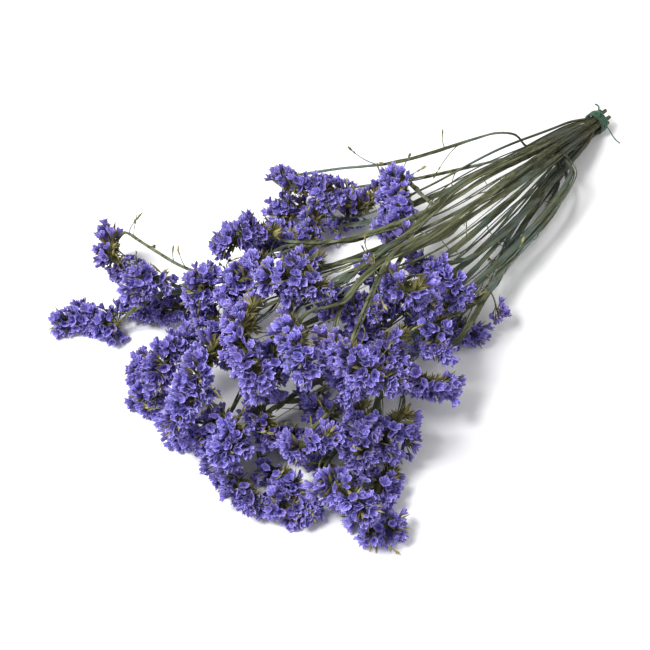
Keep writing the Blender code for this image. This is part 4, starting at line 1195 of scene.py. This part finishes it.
class StemMaker:
    """Makes stems from two outlines, a leaf, a scale and their finishes."""

    def __init__(self, settings):
        self.settings = settings
        self.winged = outline("stem_outline", WINGED, 1.0)
        self.ribbed = outline("branch_outline", RIBBED, RIBBED_SCALE)
        self.leaf = scale_shape(settings.leaf_length, *LEAF_ACROSS)
        self.bract = scale_shape(settings.scale_length, *BRACT_ACROSS)
        self.finishes = (wood_finish(), bract_finish(), cut_finish())

    def clear(self):
        """Takes the outlines out of the scene again."""
        for drawn in (self.winged, self.ribbed):
            data = drawn.data
            bpy.data.objects.remove(drawn)
            bpy.data.curves.remove(data)

    def build(self, name):
        """One stem with its branches, the leaves at its forks and the scales behind its heads."""
        chance = random.Random(name + " stem")
        shape = bmesh.new()
        for chain in (chain for chain in LAYOUT.chains if chain.stem == name):
            self.add_chain(shape, chain, chance)
        for face in shape.faces:
            if face.normal.x > CUT_FACING and face.calc_center_median().x > to_frame((CUT_FROM, 0, 0)).x:
                face.material_index = 2
        made = finished("winged_stem_" + name, shape, 40, *self.finishes)
        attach(made, "root")
        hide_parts("stem_" + name)

    def add_chain(self, shape, chain, chance):
        """One run of wood, with the strands and twigs that go with it."""
        points = LAYOUT.places[chain.points].copy()
        trunk = chain.root is None
        if not trunk:
            points[0] = LAYOUT.places[chain.root]
            self.add_leaves(shape, points, chance)
        line = spline(points, 4)
        steps = np.arange(len(line))
        reach = np.interp(steps / 4, range(len(points)), LAYOUT.reach[chain.points])
        start = chance.uniform(0, 6)
        girth = reach / (WINGED_HALF if trunk else RIBBED_HALF) * (1 + 0.06 * np.sin(steps * 1.7 + start))
        turns = 0.5 * np.sin(steps * 0.23 + start)
        put_rod(shape, rod_mesh(line, girth, turns, profile=self.winged if trunk else self.ribbed))
        for number in range(self.settings.strands if trunk else 1):
            self.add_strand(shape, line, STRAND_BOW if trunk else BRANCH_BOW, chance)
        for number in range(self.settings.twigs // 2 if trunk else self.settings.twigs):
            self.add_twig(shape, line, 0 if trunk else TUFT, chance)
        self.add_comb(shape, chain, chance)

    def add_strand(self, shape, line, bows, chance):
        """A thinner stem that leaves its stem near the tie, runs beside it and comes back further on."""
        first = round(len(line) * chance.uniform(*STRAND_LEAVES))
        part = line[first:round(len(line) * chance.uniform(*STRAND_MEETS))]
        share = np.linspace(0, 1, len(part))
        bow = np.array((chance.uniform(-0.4, 0.4), chance.choice((-1, 1)) * chance.uniform(0.6, 1),
                        chance.uniform(-0.7, 0.7)))
        wide = chance.uniform(*bows)
        arch = np.sin(np.pi * share)
        swing = wide * (arch ** 0.7 + 0.2 * arch * np.sin(3 * np.pi * share + chance.uniform(0, math.tau)))
        girth = chance.uniform(*bows) / bows[1] * (0.9 + 0.2 * np.cos(np.pi * share))
        turns = chance.uniform(0, 3) + 1.2 * share
        put_rod(shape, rod_mesh(within(part + swing[:, None] * bow), girth, turns, profile=self.ribbed))

    def add_twig(self, shape, line, tuft, chance):
        """A thin side twig that curls away from its stem, and may end in a tuft of scales."""
        start = chance.randrange(len(line) // 5, len(line) - 2)
        way = unit(line[start + 1] - line[start]) + TWIG_SPREAD * cloud(chance)
        curl = TWIG_CURL * cloud(chance)
        step = chance.uniform(*TWIG_LENGTH) / TWIG_STEPS
        points = [line[start]]
        for number in range(TWIG_STEPS):
            points.append(points[-1] + step * unit(way))
            way = way + TWIG_TURN * curl
        points = within(points)
        put_rod(shape, rod_mesh(points, np.linspace(1, 0.6, len(points)), reach=TWIG_REACH))
        for number in range(tuft):
            lean = way + scatter(chance, -TUFT_LEAN, TUFT_LEAN)
            place = strewn(points[-1 - number % 2], lean, chance, TUFT_SIZES)
            put_scale(shape, self.bract, place, chance.random())

    def add_leaves(self, shape, points, chance):
        """The small pointed leaves where a branch leaves its stem."""
        ahead = unit(points[1] - points[0])
        for number in range(LEAVES):
            lean = ahead + scatter(chance, -LEAF_LEAN, LEAF_LEAN)
            place = strewn(points[0] + LEAF_STEP * number * ahead, lean, chance, LEAF_SIZES)
            put_scale(shape, self.leaf, place, chance.random(), 0)

    def add_comb(self, shape, chain, chance):
        """The comb of yellow-green scales along the back and sides of a head's stalk."""
        spine, core, out, along = head_lines(chain)
        rows = max(5, round(length_of(spine) / COMB_STEP))
        for row in range(rows):
            share = row / (rows - 1)
            root, front, ahead = (at_share(line, share) for line in (spine, out, along))
            aside = np.cross(ahead, front)
            for turn in COMB_TURNS:
                angle = turn + chance.uniform(-COMB_CHANCE, COMB_CHANCE)
                flat = front * math.cos(angle) * COMB_OUT + aside * math.sin(angle)
                place = strewn(root, flat + ahead * chance.uniform(*COMB_LEAN), chance, COMB_SIZES)
                put_scale(shape, self.bract, place, chance.random())


def within(points):
    """The points, raised or lowered to stay over the surface and under the bunch's top."""
    points = np.array(points)
    points[:, 2] = np.clip(points[:, 2], LOWEST_TWIG, HIGHEST_TWIG)
    return points


class STATICE_OT_stems(bpy.types.Operator):
    """Build the winged stems with their branches, leaves and scales."""
    bl_idname = "statice.stems"
    bl_label = "Winged stems"

    def execute(self, context):
        maker = StemMaker(context.scene.statice_stems)
        for stem in STEMS:
            maker.build(stem.name)
        maker.clear()
        return {"FINISHED"}


class STATICE_OT_tie(bpy.types.Operator):
    """Build the elastic tie with its knot and loose ends."""
    bl_idname = "statice.tie"
    bl_label = "Elastic tie"

    def execute(self, context):
        turns = context.scene.statice_tie.turns
        shape = bmesh.new()
        width = TIE_WIDTH / turns
        for number in range(turns):
            put_rod(shape, tie_turn(TIE_X + width * (number - (turns - 1) / 2), width))
        for offsets, reach in TIE_CORDS:
            put_rod(shape, rod_mesh(spline(np.array(offsets) + (TIE_X, TIE_Y, TIE_Z), 6), reach=reach))
        made = finished("elastic_tie", shape, 50, elastic_finish())
        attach(made, "root")
        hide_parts("tie")
        return {"FINISHED"}


def tie_turn(x, width):
    """One turn of the elastic round the stems: a flattened cord spun round the bunch's line."""
    shape = new_shape()
    thick = TIE_OUTER - TIE_INNER
    bmesh.ops.create_circle(shape, cap_ends=False, segments=12, radius=0.5)
    bmesh.ops.scale(shape, vec=(width * 1.04 * MM, thick * MM, 1), verts=shape.verts)
    bmesh.ops.rotate(shape, cent=(0, 0, 0), matrix=Matrix.Rotation(math.pi / 2, 3, "X"), verts=shape.verts)
    bmesh.ops.translate(shape, vec=(0, 0, (TIE_INNER + thick / 2) * MM), verts=shape.verts)
    bmesh.ops.spin(shape, geom=shape.verts[:] + shape.edges[:], axis=(1, 0, 0), cent=(0, 0, 0), steps=48,
                   angle=math.tau, use_merge=True)
    bmesh.ops.remove_doubles(shape, verts=shape.verts, dist=10 * MERGE)
    bmesh.ops.recalc_face_normals(shape, faces=shape.faces)
    bmesh.ops.translate(shape, vec=to_frame((x, TIE_Y, TIE_Z)), verts=shape.verts)
    return mesh_of("turn", shape)


class STATICE_OT_stage(bpy.types.Operator):
    """Lay the pale floor, hang the studio lights and set up the camera."""
    bl_idname = "statice.stage"
    bl_label = "Stage"

    def execute(self, context):
        settings = context.scene.statice_stage
        shape = bmesh.new()
        bmesh.ops.create_grid(shape, x_segments=1, y_segments=1, size=4)
        new_object("pale_floor", mesh_of("pale_floor", shape), floor_finish(tuple(settings.floor)))
        set_lights(context.scene)
        set_camera(context.scene, settings)
        context.scene.view_settings.view_transform = "Standard"
        return {"FINISHED"}


def set_lights(scene):
    """A bright even surround, a broad soft key from above left, and a weak fill."""
    scene.world = bpy.data.worlds.new("studio")
    scene.world.use_nodes = True
    surround = scene.world.node_tree.nodes["Background"]
    surround.inputs["Color"].default_value = (1, 1, 1, 1)
    surround.inputs["Strength"].default_value = AROUND
    for name, place, side, power in LIGHTS:
        data = bpy.data.lights.new(name, "AREA")
        data.size = side
        data.energy = power
        light = new_object(name, data)
        light.location = place
        light.rotation_euler = (-Vector(place)).to_track_quat("-Z", "Y").to_euler()


def set_camera(scene, settings):
    """The camera at the photo's angle, aimed at the same point of the bunch."""
    turn, tilt = math.radians(CAMERA_TURN), math.radians(CAMERA_TILT)
    back = Vector((math.sin(turn) * math.cos(tilt), -math.cos(turn) * math.cos(tilt), math.sin(tilt)))
    data = bpy.data.cameras.new("photo_view")
    data.lens = settings.lens
    data.sensor_width = 36
    data.shift_y = (LOOKED_AT_ROW - PHOTO_SIDE / 2) / PHOTO_SIDE
    camera = new_object("photo_view", data)
    camera.location = to_frame(LOOKED_AT) + back * settings.distance
    camera.rotation_euler = back.to_track_quat("Z", "Y").to_euler()
    scene.camera = camera


class STATICE_PT_panel(bpy.types.Panel):
    """Lists the bunch's pieces in the sidebar."""
    bl_label = "Statice"
    bl_idname = "STATICE_PT_panel"
    bl_space_type = "VIEW_3D"
    bl_region_type = "UI"
    bl_category = "Statice"

    def draw(self, context):
        for operator, group in PIECES:
            self.layout.operator("statice." + operator)
            settings = getattr(context.scene, "statice_" + operator)
            for name in group.__annotations__:
                self.layout.prop(settings, name)


PIECES = (("stems", STATICE_PG_stems), ("heads", STATICE_PG_heads), ("tie", STATICE_PG_tie),
          ("stage", STATICE_PG_stage))
OPERATORS = (STATICE_OT_stems, STATICE_OT_heads, STATICE_OT_tie, STATICE_OT_stage)


def register():
    for name, group in PIECES:
        bpy.utils.register_class(group)
        setattr(bpy.types.Scene, "statice_" + name, bpy.props.PointerProperty(type=group))
    for item in OPERATORS + (STATICE_PT_panel,):
        bpy.utils.register_class(item)


def unregister():
    for item in (STATICE_PT_panel,) + OPERATORS[::-1]:
        bpy.utils.unregister_class(item)
    for name, group in PIECES[::-1]:
        delattr(bpy.types.Scene, "statice_" + name)
        bpy.utils.unregister_class(group)


def main():
    register()
    for name, group in PIECES:
        getattr(bpy.ops.statice, name)()


if __name__ == "__main__":
    main()
